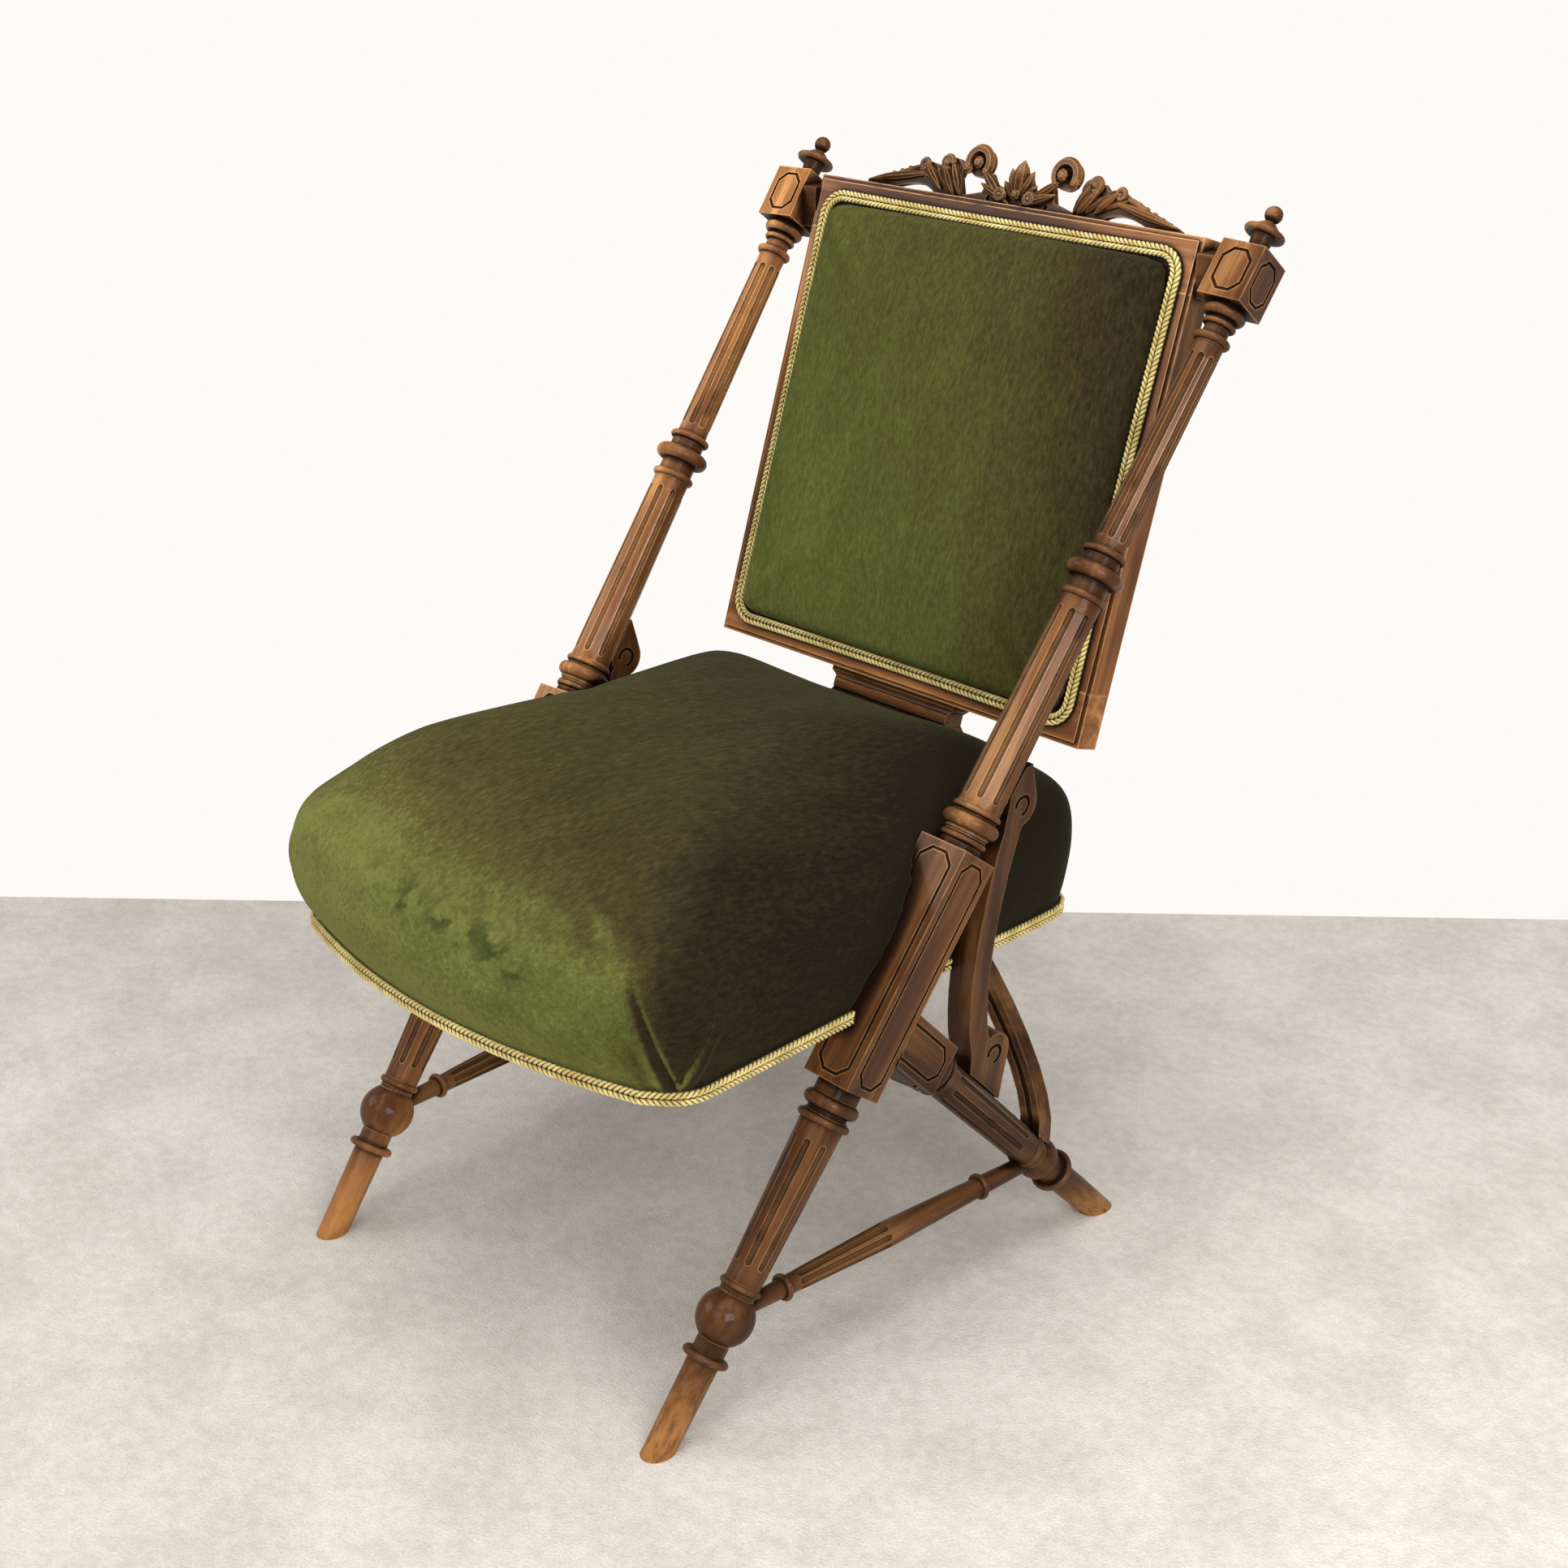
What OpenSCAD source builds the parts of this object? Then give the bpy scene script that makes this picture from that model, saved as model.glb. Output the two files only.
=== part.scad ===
// Victorian nursing chair: raked fluted side posts, crossed rear legs, a low
// sprung seat and an upholstered back panel under a carved and pierced crest.
// Millimetres, +Z up, the chair faces -Y, floor at Z = 0.

/* [Side frames] */
// Spacing of the front feet, centre to centre
foot_spacing = 400; // [370:1:430]
// Backward lean of the side posts, degrees from upright
post_lean = 36.9; // [36:0.1:37.8]
// Distance along the post from the floor to the middle of its ball
ball_at = 109; // [100:1:116]
// Diameter of the ball on each foot
ball_d = 45; // [40:0.5:50]
// Diameter of the tapered foot at the floor
foot_d = 24; // [20:0.5:28]
// Diameter of the front leg just above its ball
leg_low_d = 27; // [24:0.5:30]
// Diameter of the front leg just under the long block
leg_top_d = 35; // [32:0.5:38]
// Distance along the post from the floor to the long block
block_at = 297; // [290:1:303]
// Length of the long square block at the seat
block_l = 195; // [185:1:205]
// Width of the long square block
block_w = 43; // [40:0.5:46]
// Diameter of the lower column at the long block
column_low_d = 35; // [31:0.5:38]
// Diameter of the lower column under the middle rings
column_mid_d = 30.5; // [28:0.5:32]
// Distance along the post from the floor to the middle rings
mid_ring_at = 721; // [700:1:740]
// Diameter of the middle ring
mid_ring_d = 46; // [42:0.5:50]
// Diameter of the upper column above the middle rings
upper_low_d = 26; // [24:0.5:29]
// Diameter of the upper column under its neck
upper_top_d = 23; // [21:0.5:24]
// Distance along the post from the floor to the top block
top_block_at = 947; // [930:1:960]
// Length of the top block
top_block_l = 46; // [42:1:50]
// Width of the top block
top_block_w = 38; // [34:0.5:42]
// Number of flutes round each column
flute_n = 8; // [6:1:10]
// Width of each flute
flute_w = 5; // [3:0.5:6]
// Depth of each flute
flute_deep = 2; // [1:0.25:2.5]

/* [Finials] */
// Diameter of the mushroom cap
cap_d = 33; // [28:0.5:38]
// Height of the whole finial above its block
finial_h = 40; // [34:1:46]
// Diameter of the finial's round tenon
tenon_d = 10; // [8:0.5:12]

/* [Rear legs] */
// Distance of the rear feet behind the front feet
foot_depth = 481; // [465:1:495]
// Height at which the rear leg's axis leaves the post
rear_joint_z = 266; // [258:1:274]
// How far each rear foot stands outside its side frame
rear_spread = 30; // [22:1:36]
// Height of the ball on the rear leg
rear_ball_z = 84; // [78:1:90]
// Length of the rear leg's square block
rear_block_l = 60; // [54:1:66]
// Diameter of the ball on the rear leg
rear_ball_d = 36; // [32:0.5:38]
// Diameter of the side stretcher at its thick middle
stretcher_d = 21; // [18:0.5:24]
// Diameter of the side stretcher at its ends
stretcher_end_d = 13; // [11:0.5:15]

/* [Brackets and arch] */
// Thickness of the S-scroll brackets
bracket_t = 23; // [18:1:26]
// Depth of the bracket's shaft, front to back
bracket_w = 20; // [17:0.5:23]
// Radius of the bracket's upper scroll
scroll_top_r = 17; // [14:0.5:18]
// Radius of the bracket's lower scroll
scroll_low_r = 18; // [15:0.5:20]
// Width of the rear arch's face
arch_w = 20; // [16:0.5:24]
// Thickness of the rear arch, front to back
arch_t = 16; // [13:0.5:19]

/* [Seat] */
// Height of the underside of the seat rails, over the front feet
seat_z = 291; // [288:1:294]
// Backward pitch of the seat, degrees
seat_pitch = 1.4; // [0.8:0.1:1.8]
// Height of the seat rails
rail_h = 44; // [40:1:48]
// Thickness of the side and back seat rails
rail_t = 38; // [34:1:42]
// How deep each post block is let into the seat rails
rail_notch = 17.3; // [14:0.1:19]
// How much narrower the seat is at the back corners, on each side
seat_taper = 15; // [12:0.5:18]
// Distance of the front corners behind the front feet
seat_corner_y = 16; // [10:1:22]
// How far the bowed front rail stands ahead of its corners
seat_bow = 41; // [34:1:48]
// Distance of the back face of the seat rails behind the front feet
seat_back_y = 460; // [455:1:463]
// Thickness of the velvet and padding outside the rails
cover_t = 5; // [4:0.5:7]
// Height of the seat's rolled edge above the rails
edge_rise = 72; // [62:1:78]
// Height of the seat's crown above its rolled edge
crown_rise = 50; // [42:1:58]
// How far the rolled edge overhangs the trim at the sides and back
roll_out = 7; // [4:0.5:9]
// How much further the roll reaches forward along the front
front_roll = 14; // [8:1:18]
// Number of hourglass springs in each row of the seat
spring_row_n = 2; // [1:1:3]

/* [Back] */
// Width of the moulded back frame
back_w = 398; // [390:1:402]
// Height of the moulded back frame
back_h = 402; // [392:1:412]
// Thickness of the moulded back frame
back_t = 26; // [22:0.5:30]
// Width of the back frame's rails and stiles
back_rail_w = 44; // [38:1:48]
// Width of the spacer between the back frame and each top block
spacer_w = 14.5; // [12:0.5:17]
// Lean of the back frame from upright, in degrees
back_lean = 17.73; // [16.8:0.1:18.6]
// How far the back frame reaches above the middle of the top blocks
back_over = 29.6; // [26:0.2:33]
// Walnut left showing outside the gold trim
back_show = 12; // [9:0.5:15]
// How far the back pad swells out of its frame
back_swell = 24; // [16:1:30]
// Width of the gold braid
gimp_w = 9.5; // [8:0.5:12]
// Thickness of the gold braid
gimp_t = 3; // [2:0.25:4]
// Half width of the moulded shoe under the back
shoe_half = 68; // [56:1:76]
// Thickness of the shoe
shoe_t = 22; // [18:0.5:24]

/* [Crest] */
// Half width of the carved crest
crest_half = 163; // [156:1:170]
// Thickness of the carved crest
crest_t = 14; // [11:0.5:17]
// Radius of the big C-scrolls
crest_scroll_r = 15; // [13:0.5:16]
// Distance of each C-scroll's eye from the middle
crest_scroll_x = 45; // [42:0.5:48]

/* [Fits] */
// Gap between turned or scribed faces that meet
fit = 0.2; // [0.1:0.05:0.4]
// Gap between the padding and the wood round it
soft_gap = 0.3; // [0.3:0.05:0.6]

/* [Hidden] */
$fn = 64;
far = 2000;
walnut = [0.36, 0.21, 0.12];
beech = [0.72, 0.56, 0.38];
velvet = [0.24, 0.29, 0.10];
gold = [0.80, 0.70, 0.42];
jute = [0.62, 0.52, 0.36];
steel = [0.55, 0.53, 0.50];

// Points of the side view, as [y, z], at a distance along the leaning post
half = foot_spacing / 2;
function post_pt(s) = [s * sin(post_lean), s * cos(post_lean)];
top_mid = post_pt(top_block_at + top_block_l / 2);
knob_d = 14;
knob_at = top_block_at + top_block_l + finial_h - knob_d / 2;

// The side frames splay outwards to reach the top blocks beside the back frame
side_splay = asin((back_w / 2 + spacer_w + top_block_w / 2 - half) / top_mid[1]);

// The seat rails are let in round the post blocks and taper towards the back
seat_front_half = half + seat_z * sin(side_splay) - block_w / 2 + rail_notch;
seat_back_half = seat_front_half - seat_taper;

// The rear leg runs from the post's axis to its own foot
joint_y = rear_joint_z * tan(post_lean) + block_w / 2 / cos(post_lean);
leg_lean = atan2(foot_depth - joint_y, rear_joint_z);
leg_out = atan2(rear_spread, rear_joint_z);
function leg_s(z) = z / cos(leg_lean);
rear_top_s = leg_s(rear_joint_z);
rear_ball_s = leg_s(rear_ball_z);
rear_block_s = rear_top_s - rear_block_l;

// The back frame hangs from the middle of the top blocks, so its foot follows its height
back_y = top_mid[0] - (back_h - back_over) * sin(back_lean) - back_t / 2;
back_z = top_mid[1] - (back_h - back_over) * cos(back_lean);
rail_top = seat_z + rail_h;

// The chair stands centred in plan between the seat's front and the knobs
roll_at = 0.58;
roll_level = roll_at * (rail_h + edge_rise) - 2;
y_front = (seat_corner_y - seat_bow - cover_t - roll_out - front_roll) * cos(seat_pitch)
    + roll_level * sin(seat_pitch);
y_rear = post_pt(knob_at)[0] + knob_d / 2;
y_mid = (y_front + y_rear) / 2;

// Cubic curve through two ends with two handles, as a list of n + 1 points
function curve(a, b, c, d, n) = [for (i = [0:n]) let (t = i / n, u = 1 - t)
    u * u * u * a + 3 * u * u * t * b + 3 * u * t * t * c + t * t * t * d];

// Arc of a circle as a list of n + 1 points
function arc(mid, r, a0, a1, n) =
    [for (i = [0:n]) let (a = a0 + (a1 - a0) * i / n) mid + r * [cos(a), sin(a)]];

// Places a child in the plane of one side frame, right or mirrored to the left
module side(left = false) {
    mirror([left ? 1 : 0, 0, 0]) translate([half, 0, 0]) rotate([0, side_splay, 0]) children();
}

// Stands a child along the leaning axis of the post
module on_post() {
    rotate([-post_lean, 0, 0]) children();
}

// Stands a child along the axis of the rear leg, foot at the floor
module on_rear_leg() {
    translate([rear_spread, foot_depth, 0]) rotate([0, -leg_out, 0]) rotate([leg_lean, 0, 0]) children();
}

// Pitches the seat about a line over the front feet
module on_seat() {
    translate([0, 0, seat_z]) rotate([-seat_pitch, 0, 0]) translate([0, 0, -seat_z]) children();
}
function seat_low(y) = seat_z - y * tan(seat_pitch);

// Sets a child in the plane of the back frame, its lower edge at zero
module on_back() {
    translate([0, back_y, back_z]) rotate([-back_lean, 0, 0]) children();
}

// Half profile of a taper between two distances
module shaft(s0, s1, d0, d1) {
    polygon([[0, s0], [d0 / 2, s0], [d1 / 2, s1], [0, s1]]);
}

// Half profile of a rounded ring
module ring(s, d, h) {
    translate([0, s - h / 2]) square([d / 2 - h / 2, h]);
    translate([d / 2 - h / 2, s]) circle(d = h);
}

// Turns the half profiles that it is given
module turned() {
    rotate_extrude($fn = 72) intersection() {
        union() children();
        translate([0, -60]) square([80, 1300]);
    }
}

// One round-ended flute, as the solid that is cut away
module flute(l) {
    rotate_extrude($fn = 24) intersection() {
        union() {
            translate([-flute_w / 2, flute_w / 2]) square([flute_w, l - flute_w]);
            translate([0, flute_w / 2]) circle(d = flute_w);
            translate([0, l - flute_w / 2]) circle(d = flute_w);
        }
        square([flute_w, l]);
    }
}

// A ring of flutes along a tapered shaft
module flutes(s0, s1, d0, d1) {
    slope = atan2((d1 - d0) / 2, s1 - s0);
    for (i = [0:flute_n - 1])
        rotate([0, 0, (i + 0.5) * 360 / flute_n])
            translate([d0 / 2 + flute_w / 2 - flute_deep, 0, s0])
                rotate([0, slope, 0]) flute(s1 - s0);
}

// Cut-cornered outline of a fielded panel
module panel_outline(w, l, c) {
    polygon([[-w / 2 + c, 0], [w / 2 - c, 0], [w / 2, c], [w / 2, l - c],
        [w / 2 - c, l], [-w / 2 + c, l], [-w / 2, l - c], [-w / 2, c]]);
}

// Groove round a fielded panel, standing in the XZ plane and cut towards +Y
module panel_groove(w, l, c) {
    rotate([90, 0, 0]) translate([0, 0, -1.5]) linear_extrude(4) difference() {
        panel_outline(w, l, c);
        translate([0, 2.2]) panel_outline(w - 4.4, l - 4.4, c - 0.9);
    }
}

// Square block with panels grooved into its front and outer faces
module panelled_block(s0, w, l, border) {
    difference() {
        translate([-w / 2, -w / 2, s0]) cube([w, w, l]);
        translate([0, -w / 2, s0 + border]) panel_groove(w - 2 * border, l - 2 * border, w / 5);
        rotate([0, 0, 90]) translate([0, -w / 2, s0 + border])
            panel_groove(w - 2 * border, l - 2 * border, w / 5);
    }
}

// The turned foot shared by front and rear legs, up to the ring above its ball
module foot_profile(ball_s, d) {
    shaft(-30, ball_s, foot_d - 1, foot_d + 2);
    ring(ball_s - d / 2 - 10, foot_d + 13, 6);
    translate([0, ball_s]) circle(d = d);
    ring(ball_s + d / 2 + 2, leg_low_d + 6, 6);
}

module post_profile() {
    foot_profile(ball_at, ball_d);
    shaft(ball_at, block_at - 24, leg_low_d, leg_top_d);
    ring(block_at - 28, leg_top_d + 7, 6);
    shaft(block_at - 26, block_at - 16, leg_top_d - 3, leg_top_d - 3);
    ring(block_at - 15, leg_top_d + 9, 11);
    shaft(block_at - 12, block_at + 1, leg_top_d, leg_top_d);
    ring(block_top + 8, column_low_d + 2, 7);
    shaft(block_top - 1, block_top + 14, column_low_d - 2, column_low_d - 2);
    ring(block_top + 21, column_low_d + 10, 12);
    ring(block_top + 31, column_low_d + 4, 6);
    shaft(block_top + 13, mid_ring_at - 16, column_low_d, column_mid_d);
    ring(mid_ring_at - 19, column_mid_d + 6, 6);
    shaft(mid_ring_at - 18, mid_ring_at + 16, column_mid_d - 1, upper_low_d + 2);
    ring(mid_ring_at, mid_ring_d, 12);
    ring(mid_ring_at + 17, upper_low_d + 9, 6);
    shaft(mid_ring_at + 16, top_block_at - 28, upper_low_d, upper_top_d);
    ring(top_block_at - 28, upper_top_d + 7, 6);
    shaft(top_block_at - 29, top_block_at - 6, upper_top_d - 3, upper_top_d - 3);
    ring(top_block_at - 15, upper_top_d + 4, 5);
    ring(top_block_at - 6, upper_top_d + 11, 9);
    shaft(top_block_at - 6, top_block_at + 1, upper_top_d, upper_top_d);
}
block_top = block_at + block_l;

// Turned, fluted and panelled side post, cut flush at the floor
module side_post(left) {
    color(walnut) difference() {
        side(left) on_post() difference() {
            union() {
                turned() post_profile();
                panelled_block(block_at, block_w, block_l, 6);
                panelled_block(top_block_at, top_block_w, top_block_l, 5.5);
            }
            flutes(ball_at + 42, block_at - 44, leg_low_d + 2, leg_top_d - 1);
            flutes(block_top + 40, mid_ring_at - 32, column_low_d - 0.4, column_mid_d + 0.4);
            flutes(mid_ring_at + 28, top_block_at - 42, upper_low_d, upper_top_d);
            translate([0, 0, top_block_at + top_block_l - 22]) cylinder(d = tenon_d + 2 * fit, h = 40);
        }
        back_dowel_pair(fit);
        translate([-far / 2, -far / 2, -200]) cube([far, far, 200]);
    }
}

// Mushroom cap and knob, with a round tenon in the top block
module finial(left) {
    top = top_block_at + top_block_l;
    color(walnut) side(left) on_post() turned() {
        shaft(top - 20, top + 5, tenon_d, tenon_d);
        shaft(top, top + 4, cap_d - 13, cap_d - 13);
        shaft(top + 4, top + finial_h - 24, cap_d - 18, cap_d - 14);
        ring(top + finial_h - 23, cap_d, 5);
        shaft(top + finial_h - 21, top + finial_h - 14, cap_d - 6, knob_d - 4);
        shaft(top + finial_h - 15, top + finial_h - 8, knob_d - 7, knob_d - 7);
        translate([0, top + finial_h - knob_d / 2]) circle(d = knob_d);
    }
}

module rear_leg_profile() {
    foot_profile(rear_ball_s, rear_ball_d);
    shaft(rear_ball_s, rear_block_s - 12, leg_low_d + 1, leg_top_d - 3);
    ring(rear_block_s - 16, leg_top_d + 3, 6);
    shaft(rear_block_s - 14, rear_block_s + 1, leg_top_d - 5, leg_top_d - 5);
    ring(rear_block_s - 6, leg_top_d + 6, 9);
}

// Solid ahead of the post's rear face, which the rear leg and bracket butt on
module before_post_face() {
    on_post() translate([-far / 2, -far, -far / 2]) cube([far, far + block_w / 2, block_top + far / 2]);
}

// Rear leg, its block butted on the post and its foot cut flush at the floor
module rear_leg(left) {
    color(walnut) difference() {
        side(left) difference() {
            on_rear_leg() difference() {
                union() {
                    turned() rear_leg_profile();
                    panelled_block(rear_block_s, block_w - 1, rear_block_l + 24, 6);
                }
                flutes(rear_ball_s + 42, rear_block_s - 30, leg_low_d + 2.4, leg_top_d - 3.6);
            }
            before_post_face();
        }
        translate([-far / 2, -far / 2, -200]) cube([far, far, 200]);
    }
}

// How far the bracket stands outside the middle of the side frame
bracket_out = 3;
// Ends of the bracket in side view: its upper and lower scrolls
top_eye = post_pt(block_top + 32) + [scroll_top_r + 18, -2];
low_eye_z = rear_joint_z - 62;
low_eye = [foot_depth - tan(leg_lean) * low_eye_z + 55, low_eye_z];

// Flat S-scroll bracket between the rear leg and the back of the post: up its
// front edge, over the upper scroll, down its back edge and round the lower scroll
module bracket_outline() {
    w = bracket_w;
    polygon(concat(
        [low_eye + [-8 - w, -60]],
        curve(low_eye + [-8 - w, 10], low_eye + [-22 - w, 60],
            top_eye + [-18 - w, -72], top_eye + [1 - w, -16], 10),
        [top_eye + [-14, 12], top_eye + [1, 31], top_eye + [9, 32], top_eye + [scroll_top_r - 3, 14]],
        arc(top_eye, scroll_top_r, 20, -80, 7),
        curve(top_eye + [1, -19], top_eye + [-18, -72], low_eye + [-22, 62], low_eye + [-8, 18], 10),
        arc(low_eye, scroll_low_r, 110, -15, 8),
        [low_eye + [8, -60]]));
}

module side_bracket(left) {
    color(walnut) side(left) difference() {
        translate([bracket_out - bracket_t / 2, 0, 0]) rotate([90, 0, 90]) difference() {
            linear_extrude(bracket_t) difference() {
                bracket_outline();
                translate([foot_depth, 0]) rotate(leg_lean) translate([-100, -100]) square([100, 600]);
            }
            for (e = [top_eye, low_eye], z = [-1, bracket_t - 2]) translate([e[0], e[1], z])
                linear_extrude(3) difference() {
                    circle(r = 9);
                    circle(r = 6);
                    translate([-20, -20]) square([20, 20]);
                }
        }
        before_post_face();
        on_post() translate([0, 0, block_top - 1]) cylinder(d = column_low_d + 10 + 2 * fit, h = 40);
        on_post() translate([0, 0, block_top + 34]) cylinder(d = column_low_d + 2 * fit, h = 90);
        on_rear_leg() cylinder(d = leg_top_d - 2, h = rear_block_s + 2);
        on_rear_leg() translate([-block_w / 2, -block_w / 2, rear_block_s - 24])
            cube([block_w, block_w, rear_block_l + 40]);
    }
}

// Turns its child from +Z to run from point a to point b
module between(a, b) {
    v = b - a;
    translate(a) rotate([0, acos(v[2] / norm(v)), atan2(v[1], v[0])]) children();
}

// Point of the right side's own plane, in the chair's frame
function side_world(x, y, z) = [half + x * cos(side_splay) + z * sin(side_splay), y,
    -x * sin(side_splay) + z * cos(side_splay)];
function rear_pt(s) = side_world(rear_spread - s * cos(leg_lean) * sin(leg_out),
    foot_depth - s * sin(leg_lean), s * cos(leg_lean) * cos(leg_out));
front_ball = side_world(0, post_pt(ball_at)[0], post_pt(ball_at)[1]);
rear_ball = rear_pt(rear_ball_s);

// Turned side stretcher from ball to ball
module side_stretcher(left) {
    l = norm(rear_ball - front_ball);
    color(walnut) mirror([left ? 1 : 0, 0, 0]) between(front_ball, rear_ball) difference() {
        turned() {
            shaft(ball_d / 2 - 6, l / 2, stretcher_end_d, stretcher_d);
            shaft(l / 2, l - rear_ball_d / 2 + 6, stretcher_d, stretcher_end_d);
            ring(ball_d / 2 + 34, stretcher_end_d + 9, 5);
            ring(l - rear_ball_d / 2 - 50, stretcher_end_d + 9, 5);
        }
        flutes(ball_d / 2 + 46, l / 2 - 6, stretcher_end_d + 3.4, stretcher_d);
        sphere(d = ball_d + 2 * fit);
        translate([0, 0, l]) sphere(d = rear_ball_d + 2 * fit);
    }
}

// Hooped rear stretcher: its plane rises from the rear legs to the seat rail
arch_foot = rear_pt(rear_ball_s + 30);
arch_y = arch_foot[1] + leg_low_d / 2 + arch_t / 2 - 2;
arch_top_y = seat_back_y - arch_t / 2 - 1;
arch_top_z = seat_low(arch_top_y);
arch_lean = atan2(arch_top_y - arch_y, arch_top_z - arch_foot[2]);
arch_rise = (arch_top_z - arch_foot[2]) / cos(arch_lean) + arch_t / 2 * tan(arch_lean) + 3;
arch_half = arch_foot[0] + arch_w / 2;

// Hoop outline drawn in by an inset: steep at the legs and flat at its crown
module arch_band(inset) {
    a = arch_half - inset;
    b = arch_rise - inset;
    right = curve([a, 0], [a, 0.3 * b], [0.31 * a, b], [0, b], 12);
    polygon(concat([[a, -30]], right, [for (i = [11:-1:0]) [-right[i][0], right[i][1]]], [[-a, -30]]));
}

module rear_arch() {
    color(walnut) difference() {
        translate([0, arch_y, arch_foot[2]]) rotate([-arch_lean, 0, 0]) difference() {
            rotate([90, 0, 0]) translate([0, 0, -arch_t / 2]) linear_extrude(arch_t) difference() {
                arch_band(0);
                arch_band(arch_w);
            }
            rotate([90, 0, 0]) translate([0, 0, arch_t / 2 - 2]) linear_extrude(4) difference() {
                arch_band(arch_w * 0.36);
                arch_band(arch_w * 0.62);
            }
        }
        for (left = [false, true]) side(left) on_rear_leg()
            cylinder(d = leg_low_d + 4 + 2 * fit, h = rear_top_s);
        on_seat() translate([-far / 2, -far / 2, seat_z]) cube([far, far, 200]);
        translate([-far / 2, -far / 2, 0]) cube([far, far, arch_foot[2] - 12]);
    }
}

// Half width of the seat at a distance behind the front feet
function seat_half(y) = seat_back_half + (seat_front_half - seat_back_half)
    * (seat_back_y - y) / (seat_back_y - seat_corner_y);

// Plan of the seat, grown by a margin: bowed front, tapering sides, round corners
module seat_plan(g) {
    polygon(seat_outline(g));
}
function seat_outline(g, corner = 26, back_corner = 24, steps = 1) = let (
    right = concat(arc([seat_front_half - corner, seat_corner_y - 6 + corner], corner + g, -52, 0, 4),
        [for (i = [1:steps - 1]) let (t = i / steps) (1 - t) * [seat_front_half + g, seat_corner_y - 6 + corner]
            + t * [seat_back_half + g, seat_back_y - back_corner]],
        arc([seat_back_half - back_corner, seat_back_y - back_corner], back_corner + g, 0, 90, 4),
        [for (i = [1:steps - 1]) [(seat_back_half - back_corner) * (1 - i / steps), seat_back_y + g]]),
    n = len(right)) concat(
    [for (i = [0:12]) let (x = (seat_front_half - corner) * (i / 6 - 1))
        [x * (1 + g / seat_front_half), seat_corner_y - g - seat_bow * (1 - pow(x / seat_front_half, 2))]],
    right, steps > 1 ? [[0, seat_back_y + g]] : [],
    [for (i = [n - 1:-1:0]) [-right[i][0], right[i][1]]]);

// Slides the points of the front forward, fading out towards the back
function forward(points, f) = [for (p = points) [p[0], p[1] - f * max(0, min(1, (120 - p[1]) / 120))]];

// One part of the ring of seat rails, between two corners in plan, housed round
// the post blocks
front_rail_w = 62;
front_line = seat_corner_y + front_rail_w / 2;
inner_half = seat_back_half - rail_t + 6;
module rail_part(low, high) {
    color(beech) difference() {
        on_seat() translate([0, 0, seat_z]) linear_extrude(rail_h) intersection() {
            difference() {
                seat_plan(0);
                translate([-inner_half, front_line])
                    square([2 * inner_half, seat_back_y - rail_t - front_line]);
            }
            translate(low) square(high - low);
        }
        for (left = [false, true]) side(left) on_post()
            translate([-block_w / 2, -block_w / 2, block_at - 40]) cube([block_w, block_w, block_l + 80]);
    }
}

module seat_rail_front() {
    rail_part([-far, -far], [far, front_line]);
}

module seat_rail_back() {
    rail_part([-far, seat_back_y - rail_t], [far, far]);
}

module seat_rail_side(left) {
    rail_part([left ? -far : 0, front_line], [left ? 0 : far, seat_back_y - rail_t]);
}

// Triangular glue blocks in the corners of the rails
corner_leg = 46;
corner_low = 6;
module seat_corner_blocks() {
    color(beech) on_seat() for (x = [-1, 1], y = [0, 1])
        translate([x * inner_half, y ? seat_back_y - rail_t : front_line, seat_z + corner_low])
            mirror([x > 0 ? 1 : 0, 0, 0]) mirror([0, y, 0])
                linear_extrude(rail_h - 20) polygon([[0, 0], [corner_leg, 0], [0, corner_leg]]);
}

// Jute webbing tacked under the rails, two bands each way and crossed
web_t = 2;
web_w = 50;
web_reach = 20;
module seat_webbing() {
    span = seat_back_y - rail_t - front_line;
    color(jute) on_seat() {
        for (x = [-0.5, 0.5]) translate([inner_half * x - web_w / 2, front_line - web_reach, seat_z]) {
            translate([0, 0, -2 * web_t]) cube([web_w, span + 2 * web_reach, web_t]);
            for (y = [0, span + web_reach]) translate([0, y, -web_t]) cube([web_w, web_reach, web_t]);
        }
        for (y = [0.3, 0.7]) translate([-inner_half - web_reach, front_line + span * y, seat_z - web_t])
            translate([0, -web_w / 2, 0]) cube([2 * (inner_half + web_reach), web_w, web_t]);
    }
}

// One hourglass spring: an unbroken wire whose turns narrow at the waist
spring_turns = 4;
wire_d = 3.6;
spring_h = rail_h;
module spring() {
    rings = spring_turns * 8;
    sides = 6;
    path = [for (i = [0:rings])
        let (t = i / rings, a = 360 * spring_turns * t, r = 26 + 18 * pow(abs(2 * t - 1), 1.6))
        [r * cos(a), r * sin(a), wire_d / 2 + t * (spring_h - wire_d)]];
    points = [for (i = [0:rings], j = [0:sides - 1])
        let (a = 360 * spring_turns * i / rings, b = 360 * j / sides)
        path[i] + wire_d / 2 * [cos(b) * cos(a), cos(b) * sin(a), sin(b)]];
    faces = concat(
        [for (i = [0:rings - 1], j = [0:sides - 1]) [i * sides + j, i * sides + (j + 1) % sides,
            (i + 1) * sides + (j + 1) % sides]],
        [for (i = [0:rings - 1], j = [0:sides - 1]) [i * sides + j, (i + 1) * sides + (j + 1) % sides,
            (i + 1) * sides + j]],
        [for (j = [1:sides - 2]) [0, j + 1, j]],
        [for (j = [1:sides - 2]) [rings * sides, rings * sides + j, rings * sides + j + 1]]);
    polyhedron(points, faces);
}

module seat_springs() {
    span = seat_back_y - rail_t - front_line;
    color(steel) on_seat() for (i = [0:spring_row_n - 1], y = [0.3, 0.7])
        translate([(i - (spring_row_n - 1) / 2) * inner_half, front_line + span * y, seat_z]) spring();
}

hessian_t = 1.5;
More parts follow.
